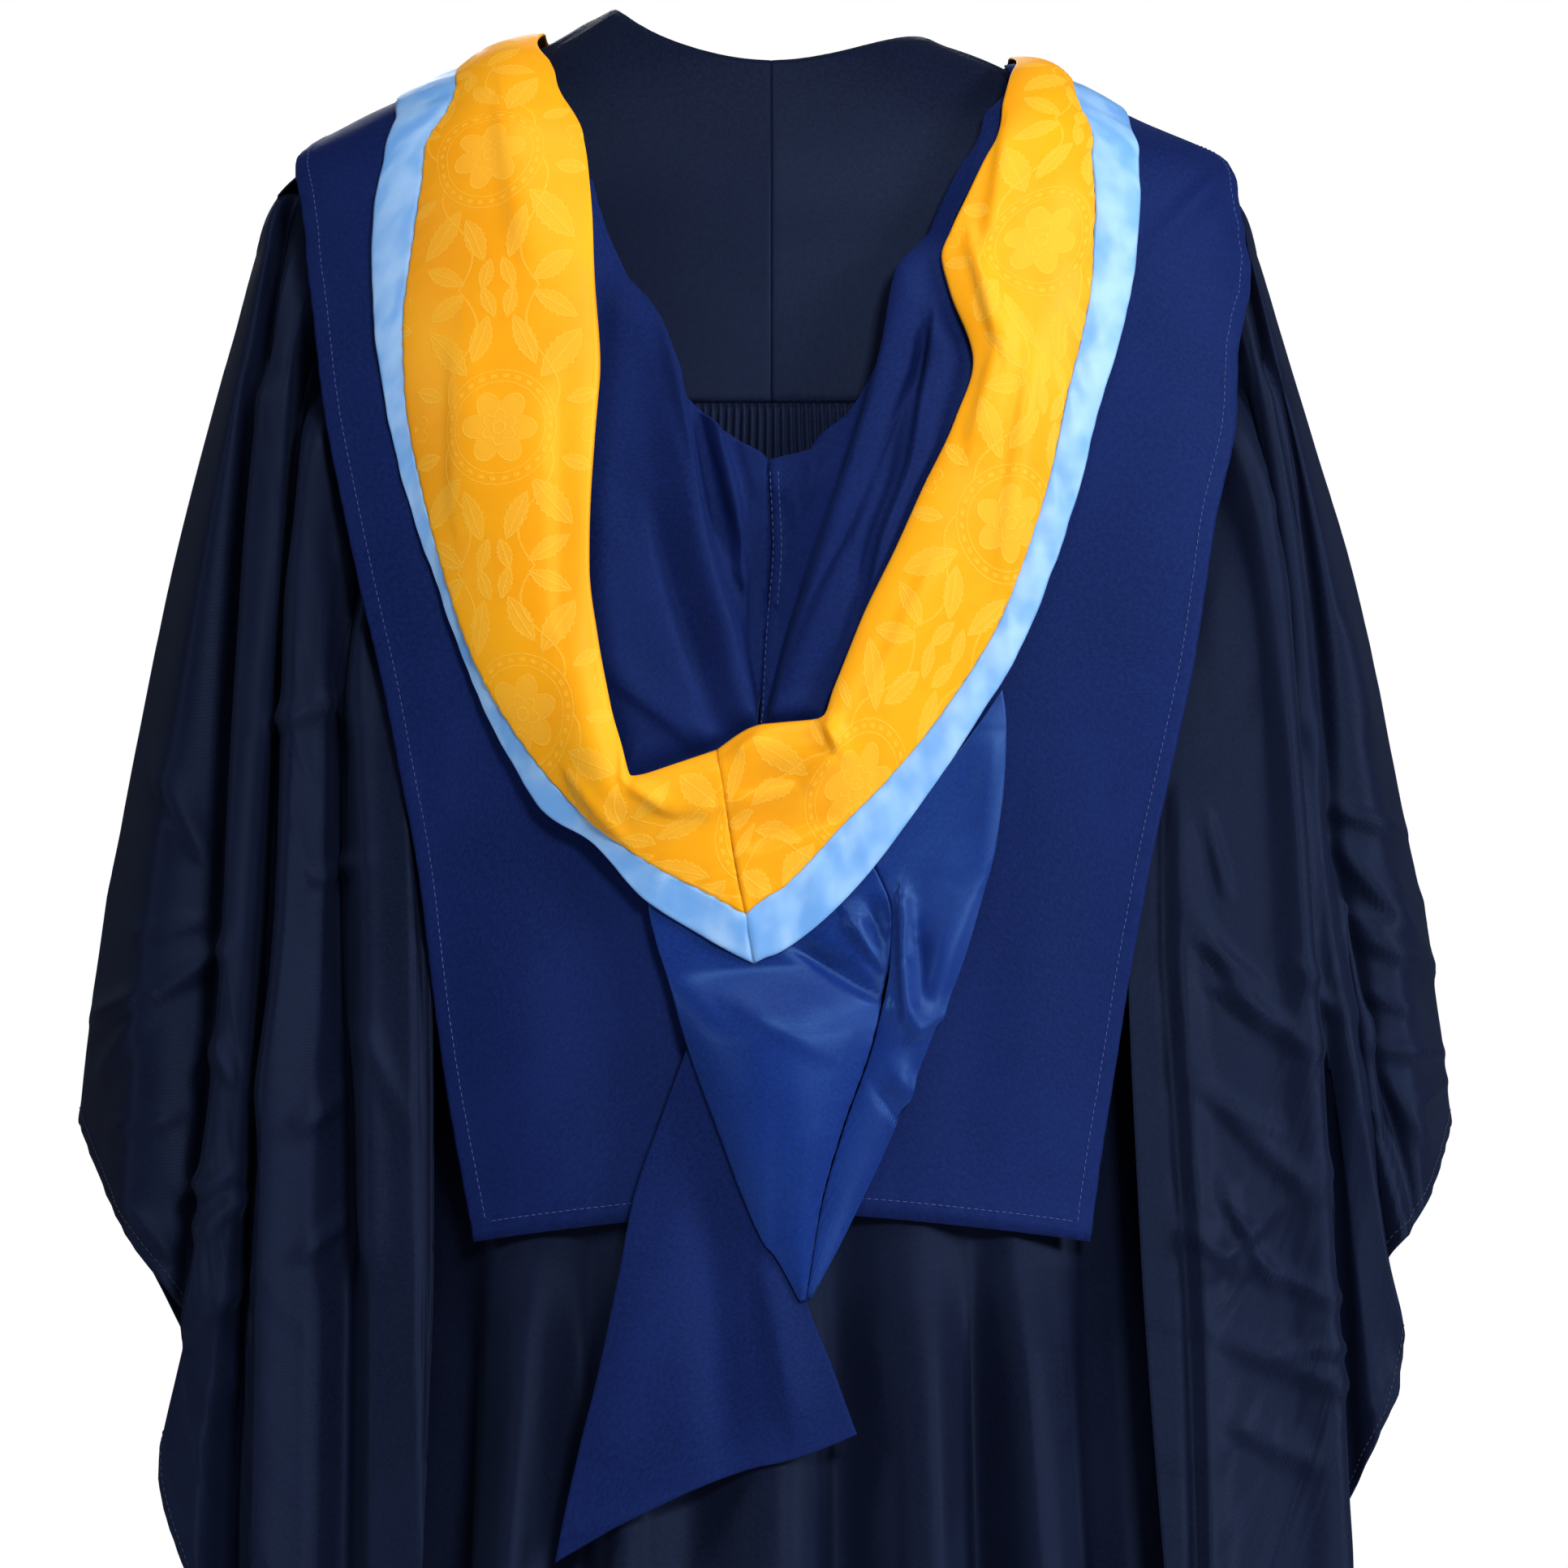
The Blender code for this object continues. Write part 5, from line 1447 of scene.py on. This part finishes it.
def raised(n, shader, height, strength, distance):
    """A bump from a height to the shader's normal."""
    bump = n.add("ShaderNodeBump")
    n.put(bump.inputs["Strength"], strength)
    n.put(bump.inputs["Distance"], distance)
    n.put(bump.inputs["Height"], height)
    n.put(shader.inputs["Normal"], bump.outputs[0])


def shade(colour, factor):
    """A darker or lighter colour with its alpha."""
    return (*[min(1.0, channel * factor) for channel in colour], 1.0)


def plain_cloth(name, colour, roughness, specular, sheen, tint, slub):
    """Plain or twilled cloth with mottled tone, slubs, a fine weave and a soft sheen."""
    material, n, shader = new_material(
        name,
        {
            "Metallic": 0.0,
            "Specular IOR Level": specular,
            "Specular Tint": (*tint, 1.0),
            "Sheen Weight": sheen,
            "Sheen Roughness": 0.35,
            "Sheen Tint": (*tint, 1.0),
        },
    )
    place, weave = woven(n, 1300.0, 1.0, slub)
    tone = n.between(weave["Tone"], 0.3, 0.7)
    base = n.mix(tone, shade(colour, 0.74), shade(colour, 1.06))
    base = n.mix(n.between(weave["Slubs"], -0.1, 0.4, 0.0, 0.6), base, shade(colour, 1.8))
    grain = n.noise(place, 420.0, 3.0, 0.6)
    base = n.mix(n.between(grain, 0.35, 0.7, 0.0, 0.5), base, shade(colour, 1.6))
    n.put(shader.inputs["Base Color"], base)
    n.put(shader.inputs["Roughness"], n.math("MULTIPLY_ADD", tone, 0.08, roughness - 0.04))
    raised(n, shader, weave["Height"], 0.35, 0.0002)
    return material


def lining_cloth(colour, figure_colour):
    """Golden self-coloured damask: matt figures with lighter outlines on a satin ground."""
    material, n, shader = new_material(
        "Lining damask",
        {
            "Metallic": 0.0,
            "Specular IOR Level": 0.3,
            "Specular Tint": (1.0, 0.75, 0.3, 1.0),
            "Sheen Weight": 0.06,
            "Sheen Roughness": 0.4,
            "Sheen Tint": (1.0, 0.7, 0.2, 1.0),
        },
    )
    place, weave = woven(n, 1700.0, 0.0, 0.3)
    node = n.add("ShaderNodeGroup", node_tree=damask_group())
    n.put(node.inputs["Cloth"], place)
    figure, hatch, outline = (node.outputs[name] for name in ("Figure", "Hatch", "Outline"))
    tone = n.between(weave["Tone"], 0.3, 0.7)
    # Painted shade: the random tone's low end is a deeper orange that stands in for shade on the lining, laid
    # in random patches.
    base = n.mix(tone, (colour[0] * 0.97, colour[1] * 0.84, colour[2] * 0.7, 1.0), shade(colour, 1.04))
    worn = n.between(n.noise(place, 900.0, 2.0), 0.35, 0.62, 0.35, 1.0)
    outline = n.math("MULTIPLY", outline, worn)
    base = n.mix(n.math("MULTIPLY", figure, 0.3), base, shade(figure_colour, 1.0))
    base = n.mix(n.math("MULTIPLY", outline, 0.45), base, shade(figure_colour, 1.0))
    base = n.mix(n.math("MULTIPLY", hatch, 0.3), base, shade(colour, 0.86))
    n.put(shader.inputs["Base Color"], base)
    n.put(shader.inputs["Roughness"], n.math("MULTIPLY_ADD", n.math("MAXIMUM", figure, outline), 0.16, 0.42))
    height = n.math("ADD", n.math("MULTIPLY", weave["Height"], 0.15), n.math("MULTIPLY", outline, 0.8))
    height = n.math("ADD", height, n.math("MULTIPLY", hatch, 0.25))
    raised(n, shader, height, 0.5, 0.0003)
    return material


def ribbon_satin(colour):
    """Light-blue satin: fine lengthwise threads, paler random patches painted in as highlights that also
    roughen and raise it slightly, and a clear sheen.
    """
    material, n, shader = new_material(
        "Ribbon satin",
        {
            "Metallic": 0.0,
            "Specular IOR Level": 0.6,
            "Anisotropic": 0.4,
            "Sheen Weight": 0.12,
            "Sheen Roughness": 0.3,
            "Sheen Tint": (0.8, 0.92, 1.0, 1.0),
        },
    )
    place, weave = woven(n, 2400.0, 0.0, 0.5)
    painted_highlight_patches = n.between(n.noise(place, 38.0, 2.0, 0.5), 0.35, 0.7)
    # Painted highlight: the patches blend towards a paler blue that stands in for the light on the satin.
    base = n.mix(painted_highlight_patches, shade(colour, 0.92), (0.28, 0.50, 0.84, 1.0))
    n.put(shader.inputs["Base Color"], base)
    n.put(shader.inputs["Roughness"], n.math("MULTIPLY_ADD", painted_highlight_patches, 0.1, 0.28))
    height = n.math("ADD", weave["Height"], n.math("MULTIPLY", painted_highlight_patches, 3.0))
    raised(n, shader, height, 0.3, 0.0002)
    return material


def thread_finish(name, colour):
    """Spun sewing thread: a slanting wave for its twist, and a slightly uneven colour."""
    material, n, shader = new_material(
        name,
        {"Metallic": 0.0, "Specular IOR Level": 0.4, "Sheen Weight": 0.1},
    )
    place = n.add("ShaderNodeUVMap", uv_map="cloth").outputs[0]
    x, y = n.split(place)
    twist = n.math("SINE", n.math("ADD", n.math("MULTIPLY", x, 9000.0), n.math("MULTIPLY", y, 2000.0)))
    spot = n.noise(n.add("ShaderNodeTexCoord").outputs["Object"], 400.0)
    n.put(shader.inputs["Base Color"], n.mix(spot, shade(colour, 0.8), shade(colour, 1.2)))
    n.put(shader.inputs["Roughness"], n.math("MULTIPLY_ADD", spot, 0.2, 0.4))
    raised(n, shader, twist, 0.4, 0.0001)
    return material


def studio_floor_finish():
    """Pale matt floor with a faint mottle."""
    material, n, shader = new_material("Studio floor", {"Metallic": 0.0, "Specular IOR Level": 0.2})
    spot = n.noise(n.add("ShaderNodeTexCoord").outputs["Object"], 3.0, 4.0)
    n.put(shader.inputs["Base Color"], n.mix(spot, (0.90, 0.90, 0.91, 1.0), (0.94, 0.94, 0.94, 1.0)))
    n.put(shader.inputs["Roughness"], n.math("MULTIPLY_ADD", spot, 0.1, 0.65))
    return material


def finish_named(name):
    """One of the garment's finishes, made once."""
    if name in bpy.data.materials:
        return bpy.data.materials[name]
    looks = bpy.context.scene.cloth_looks
    if name == "Gown cloth":
        return plain_cloth(name, looks.gown_colour, 0.48, 0.13, 0.035, (0.36, 0.55, 1.0), 0.25)
    if name == "Hood cloth":
        return plain_cloth(name, looks.hood_colour, 0.55, 0.16, 0.07, (0.2, 0.4, 1.0), 0.35)
    # Painted light: the cowl's finish is the hood cloth with its blue made about twice as light, standing in
    # for the light and gloss on the cowl.
    if name == "Hood satin with painted light":
        return plain_cloth(name, looks.cowl_painted_lit_colour, 0.38, 0.5, 0.12, (0.2, 0.5, 1.0), 0.35)
    if name == "Lining damask":
        return lining_cloth(looks.lining_colour, looks.figure_colour)
    if name == "Ribbon satin":
        return ribbon_satin(looks.ribbon_colour)
    if name == "Gown thread":
        return thread_finish(name, looks.gown_thread_colour)
    return thread_finish("Hood thread", looks.hood_thread_colour)


def colour_property(label, description, default):
    """A colour that a user may change."""
    return bpy.props.FloatVectorProperty(
        name=label, description=description, subtype="COLOR", size=3, min=0.0, max=1.0, default=default
    )


def size_property(label, description, default, low, high):
    """A size in millimetres that a user may change."""
    return bpy.props.FloatProperty(name=label, description=description, default=default, min=low, max=high)


class GownSizes(bpy.types.PropertyGroup):
    """Sizes of the cloth, its sewing and the floor, in millimetres."""

    gown_wall: size_property("Gown cloth", "Thickness of the gown's cloth", GOWN_WALL, 1.0, 3.0)
    hood_wall: size_property("Hood cloth", "Thickness of the hood's cloth", HOOD_WALL, 1.0, 3.0)
    stitch_pitch: size_property("Stitch pitch", "From one stitch to the next", 3.8, 2.5, 6.0)
    stitch_length: size_property("Stitch length", "Length of a stitch", 2.7, 1.5, 4.0)
    thread_radius: size_property("Thread radius", "Half the thread's thickness", 0.28, 0.15, 0.4)
    floor_drop: size_property("Floor", "How far the floor lies below the nape", 1480.0, 1300.0, 1800.0)


class ClothLooks(bpy.types.PropertyGroup):
    """Colours of the cloth and the thread."""

    gown_colour: colour_property("Gown", "Near-black navy of the gown", (0.0040, 0.0061, 0.0190))
    hood_colour: colour_property("Hood", "Royal blue of the hood", (0.0044, 0.0102, 0.066))
    # Painted light: the cowl's blue is the hood's blue made about twice as light.
    cowl_painted_lit_colour: colour_property("Cowl", "Blue of the cowl's smooth side", (0.0048, 0.0185, 0.135))
    lining_colour: colour_property("Lining", "Golden yellow of the lining's ground", (0.88, 0.385, 0.008))
    figure_colour: colour_property("Figure", "Lighter yellow of the woven figure", (0.97, 0.55, 0.06))
    ribbon_colour: colour_property("Ribbon", "Light blue of the ribbon", (0.15, 0.385, 0.82))
    gown_thread_colour: colour_property("Gown thread", "Thread of the gown", (0.012, 0.018, 0.045))
    hood_thread_colour: colour_property("Hood thread", "Thread of the hood", (0.03, 0.06, 0.22))


# The skin and normals of each piece, kept for the stitches that lie on it.
SEWN = {}


def take_over(made, nodes):
    """Puts a made piece in its nodes' place and keeps its skin and normals for its stitches."""
    piece, skin, normal = made
    SEWN[piece.name] = skin, normal
    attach(piece, "root")
    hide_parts(*nodes)


class GOWN_OT_yoke(bpy.types.Operator):
    """Makes the two halves of the yoke"""

    bl_idname = "gown.make_yoke"
    bl_label = "Yoke"

    def execute(self, context):
        wall = context.scene.gown_sizes.gown_wall
        for side in ("left", "right"):
            made = make_yoke(side, wall, finish_named("Gown cloth"))
            take_over(made, [f"gown_yoke_{side}"])
        return {"FINISHED"}


class GOWN_OT_back(bpy.types.Operator):
    """Makes the gathered back panel"""

    bl_idname = "gown.make_back"
    bl_label = "Back"

    def execute(self, context):
        made = make_back(context.scene.gown_sizes.gown_wall, finish_named("Gown cloth"))
        take_over(made, ["gown_back"])
        return {"FINISHED"}


class GOWN_OT_fronts(bpy.types.Operator):
    """Makes the two open fronts"""

    bl_idname = "gown.make_fronts"
    bl_label = "Fronts"

    def execute(self, context):
        wall = context.scene.gown_sizes.gown_wall
        for side in ("left", "right"):
            made = make_front(side, wall, finish_named("Gown cloth"))
            take_over(made, [f"gown_front_{side}"])
        return {"FINISHED"}


class GOWN_OT_sleeves(bpy.types.Operator):
    """Makes the two bell sleeves"""

    bl_idname = "gown.make_sleeves"
    bl_label = "Sleeves"

    def execute(self, context):
        wall = context.scene.gown_sizes.gown_wall
        for side in ("left", "right"):
            made = make_sleeve(side, wall, finish_named("Gown cloth"))
            take_over(made, [f"gown_sleeve_{side}"])
        return {"FINISHED"}


class HOOD_OT_cape(bpy.types.Operator):
    """Makes the two halves of the hood's cape"""

    bl_idname = "gown.make_cape"
    bl_label = "Cape"

    def execute(self, context):
        wall = context.scene.gown_sizes.hood_wall
        for side in ("left", "right"):
            made = make_cape(side, wall, finish_named("Hood cloth"))
            take_over(made, [f"hood_cape_{side}"])
        return {"FINISHED"}


class HOOD_OT_drape(bpy.types.Operator):
    """Makes the blue inner cloth below the neck"""

    bl_idname = "gown.make_drape"
    bl_label = "Drape"

    def execute(self, context):
        wall = context.scene.gown_sizes.hood_wall
        for side in ("left", "right"):
            made = make_drape(side, wall, finish_named("Hood cloth"))
            take_over(made, [f"hood_drape_{side}"])
        return {"FINISHED"}


class HOOD_OT_lining(bpy.types.Operator):
    """Makes the yellow lining"""

    bl_idname = "gown.make_lining"
    bl_label = "Lining"

    def execute(self, context):
        wall = context.scene.gown_sizes.hood_wall
        for side in ("left", "right"):
            made = make_lining(side, wall, finish_named("Lining damask"))
            take_over(made, [f"hood_lining_{side}"])
        return {"FINISHED"}


class HOOD_OT_ribbon(bpy.types.Operator):
    """Makes the light-blue ribbon"""

    bl_idname = "gown.make_ribbon"
    bl_label = "Ribbon"

    def execute(self, context):
        wall = context.scene.gown_sizes.hood_wall
        for side in ("left", "right"):
            made = make_ribbon(side, wall, finish_named("Ribbon satin"))
            take_over(made, [f"hood_ribbon_{side}"])
        return {"FINISHED"}


class HOOD_OT_cowl(bpy.types.Operator):
    """Makes the cowl's two outside panels and the liripipe"""

    bl_idname = "gown.make_cowl"
    bl_label = "Cowl"

    def execute(self, context):
        wall = context.scene.gown_sizes.hood_wall
        for name, finish, rows, along, across, rests_on in (
            ("cowl_left", "Hood satin with painted light", COWL_LEFT, 120, 76, ["ribbon_left", "cape_left"]),
            ("cowl_right", "Hood satin with painted light", COWL_RIGHT, 120, 60, ["ribbon_right", "cape_right"]),
            ("liripipe", "Hood cloth", LIRIPIPE, 110, 60, ["cowl_left", "cape_left"]),
        ):
            made = make_cowl(name, rows, along, across, wall, finish_named(finish))
            take_over(made, ["hood_" + name])
        return {"FINISHED"}


class GOWN_OT_stitching(bpy.types.Operator):
    """Sews the visible stitches of the hems, the fronts' facings, the cape and the seam below the neck"""

    bl_idname = "gown.make_stitching"
    bl_label = "Stitching"

    def execute(self, context):
        sizes = context.scene.gown_sizes
        hood = []
        for side in ("left", "right"):
            skin, normal = SEWN[f"cape_{side}"]
            for edge in ("last", "end"):
                hood.append((*edge_line(skin, normal, edge, CAPE_STITCH_INSET), CAPE_STITCH_INSET))
        skin, normal = SEWN["drape_right"]
        points, out = edge_line(skin, normal, "first", 1.6)
        sewn = (points[:, 2] < -222) & (points[:, 1] < 0)
        hood.append((points[sewn], out[sewn], 1.0))
        edge_points, edge_out = edge_line(skin, normal, "first", 6.0)
        sewn = (edge_points[:, 2] < -222) & (edge_points[:, 2] > -300)
        hood.append((edge_points[sewn], edge_out[sewn], 0.5))
        gown = []
        for side in ("left", "right"):
            skin, normal = SEWN[f"sleeve_{side}"]
            ring = [np.concatenate([grid, grid[:, :1]], axis=1) for grid in (skin, normal)]
            gown.append((*edge_line(*ring, "end", SLEEVE_HEM_WIDTH), 0.0))
            skin, normal = SEWN[f"front_{side}"]
            gown.append((*edge_line(skin, normal, "end", GOWN_HEM_WIDTH), 2.0))
            gown.append((*edge_line(skin, normal, "last", FACING_WIDTH), GOWN_HEM_WIDTH))
        gown.append((*edge_line(*SEWN["back_panel"], "end", GOWN_HEM_WIDTH), 2.0))
        for name, lines, finish, slot in (
            ("hood_stitches", hood, "Hood thread", "hood_cloth"),
            ("gown_stitches", gown, "Gown thread", "gown_cloth"),
        ):
            piece = stitches(
                name,
                lines,
                sizes.stitch_pitch,
                sizes.stitch_length,
                sizes.thread_radius,
                finish_named(finish),
            )
            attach(piece, "root")
        return {"FINISHED"}


class GOWN_OT_stage(bpy.types.Operator):
    """Makes the plain pale floor, the soft studio light and the camera"""

    bl_idname = "gown.make_stage"
    bl_label = "Stage"

    def execute(self, context):
        scene = context.scene
        drop = scene.gown_sizes.floor_drop
        turn = np.radians(np.arange(64) * 360 / 64)
        reach = np.array([0.01, 700.0, 1400.0, 2100.0])
        x = reach[:, None] * np.cos(turn)
        y = reach[:, None] * np.sin(turn)
        points = np.stack([x, y, np.full_like(x, -drop)], axis=-1)
        rows, columns = grid_quads(len(reach), len(turn), True)
        quads = (rows * len(turn) + columns % len(turn))[:, ::-1]
        uv = points.reshape(-1, 3)[quads][..., :2]
        floor = mesh_object("studio_floor", points.reshape(-1, 3), quads, uv, studio_floor_finish())
        for name, place, aim, size, power, colour in (
            ("key_light", (1.2, -3.6, 1.3), (0.0, 0.0, -0.5), 0.8, 112.0, (1.0, 0.98, 0.96)),
            ("side_light", (3.0, -1.3, 0.5), (0.0, 0.0, -0.5), 0.8, 84.0, (0.9, 0.96, 1.0)),
            ("fill_light", (-3.0, -1.2, 0.5), (0.0, 0.0, -0.5), 0.8, 22.0, (0.95, 0.98, 1.0)),
            ("top_light", (0.0, -1.2, 2.4), (0.0, 0.0, -0.4), 1.0, 32.0, (1.0, 1.0, 1.0)),
            ("front_light", (-0.4, 3.4, 0.9), (0.0, 0.0, -0.5), 1.2, 30.0, (1.0, 1.0, 1.0)),
        ):
            light = bpy.data.lights.new(name, "AREA")
            light.shape = "SQUARE"
            light.size = size
            light.energy = power
            light.color = colour
            lamp = bpy.data.objects.new(name, light)
            lamp.location = place
            lamp.rotation_euler = (Vector(aim) - Vector(place)).to_track_quat("-Z", "Y").to_euler()
            scene.collection.objects.link(lamp)
        world = bpy.data.worlds.new("Studio")
        world.use_nodes = True
        n = Nodes(world.node_tree)
        pale = world.node_tree.nodes["Background"]
        pale.inputs["Color"].default_value = (1.0, 1.0, 1.0, 1.0)
        pale.inputs["Strength"].default_value = 0.05
        seen = n.add("ShaderNodeBackground")
        seen.inputs["Color"].default_value = (1.0, 1.0, 1.0, 1.0)
        mixed = n.add("ShaderNodeMixShader")
        n.put(mixed.inputs[0], n.add("ShaderNodeLightPath").outputs["Is Camera Ray"])
        n.put(mixed.inputs[1], pale.outputs[0])
        n.put(mixed.inputs[2], seen.outputs[0])
        n.put(world.node_tree.nodes["World Output"].inputs["Surface"], mixed.outputs[0])
        scene.world = world
        scene.view_settings.view_transform = "Standard"
        camera = bpy.data.cameras.new("camera")
        camera.sensor_width = 36.0
        camera.lens = 175.0
        camera.clip_start = 0.1
        holder = bpy.data.objects.new("camera", camera)
        holder.location = (0.0068, -4.15, -0.388)
        holder.rotation_euler = (np.pi / 2, 0.0, 0.0)
        scene.collection.objects.link(holder)
        scene.camera = holder
        return {"FINISHED"}


PIECES = (
    GOWN_OT_yoke,
    GOWN_OT_back,
    GOWN_OT_fronts,
    GOWN_OT_sleeves,
    HOOD_OT_cape,
    HOOD_OT_drape,
    HOOD_OT_lining,
    HOOD_OT_ribbon,
    HOOD_OT_cowl,
    GOWN_OT_stitching,
    GOWN_OT_stage,
)


class GOWN_PT_panel(bpy.types.Panel):
    """Lists the garment's sizes, its colours and the buttons that make its pieces"""

    bl_idname = "GOWN_PT_panel"
    bl_label = "Graduation gown and hood"
    bl_space_type = "VIEW_3D"
    bl_region_type = "UI"
    bl_category = "Gown"

    def draw(self, context):
        for settings in (context.scene.gown_sizes, context.scene.cloth_looks):
            for name in type(settings).__annotations__:
                self.layout.prop(settings, name)
        for operator in PIECES:
            self.layout.operator(operator.bl_idname)


def register():
    for group in (GownSizes, ClothLooks, *PIECES, GOWN_PT_panel):
        bpy.utils.register_class(group)
    bpy.types.Scene.gown_sizes = bpy.props.PointerProperty(type=GownSizes)
    bpy.types.Scene.cloth_looks = bpy.props.PointerProperty(type=ClothLooks)


def unregister():
    del bpy.types.Scene.gown_sizes
    del bpy.types.Scene.cloth_looks
    for group in reversed((GownSizes, ClothLooks, *PIECES, GOWN_PT_panel)):
        bpy.utils.unregister_class(group)


def main():
    """Makes every piece in order."""
    register()
    for operator in PIECES:
        family, name = operator.bl_idname.split(".")
        getattr(getattr(bpy.ops, family), name)()


if __name__ == "__main__":
    main()
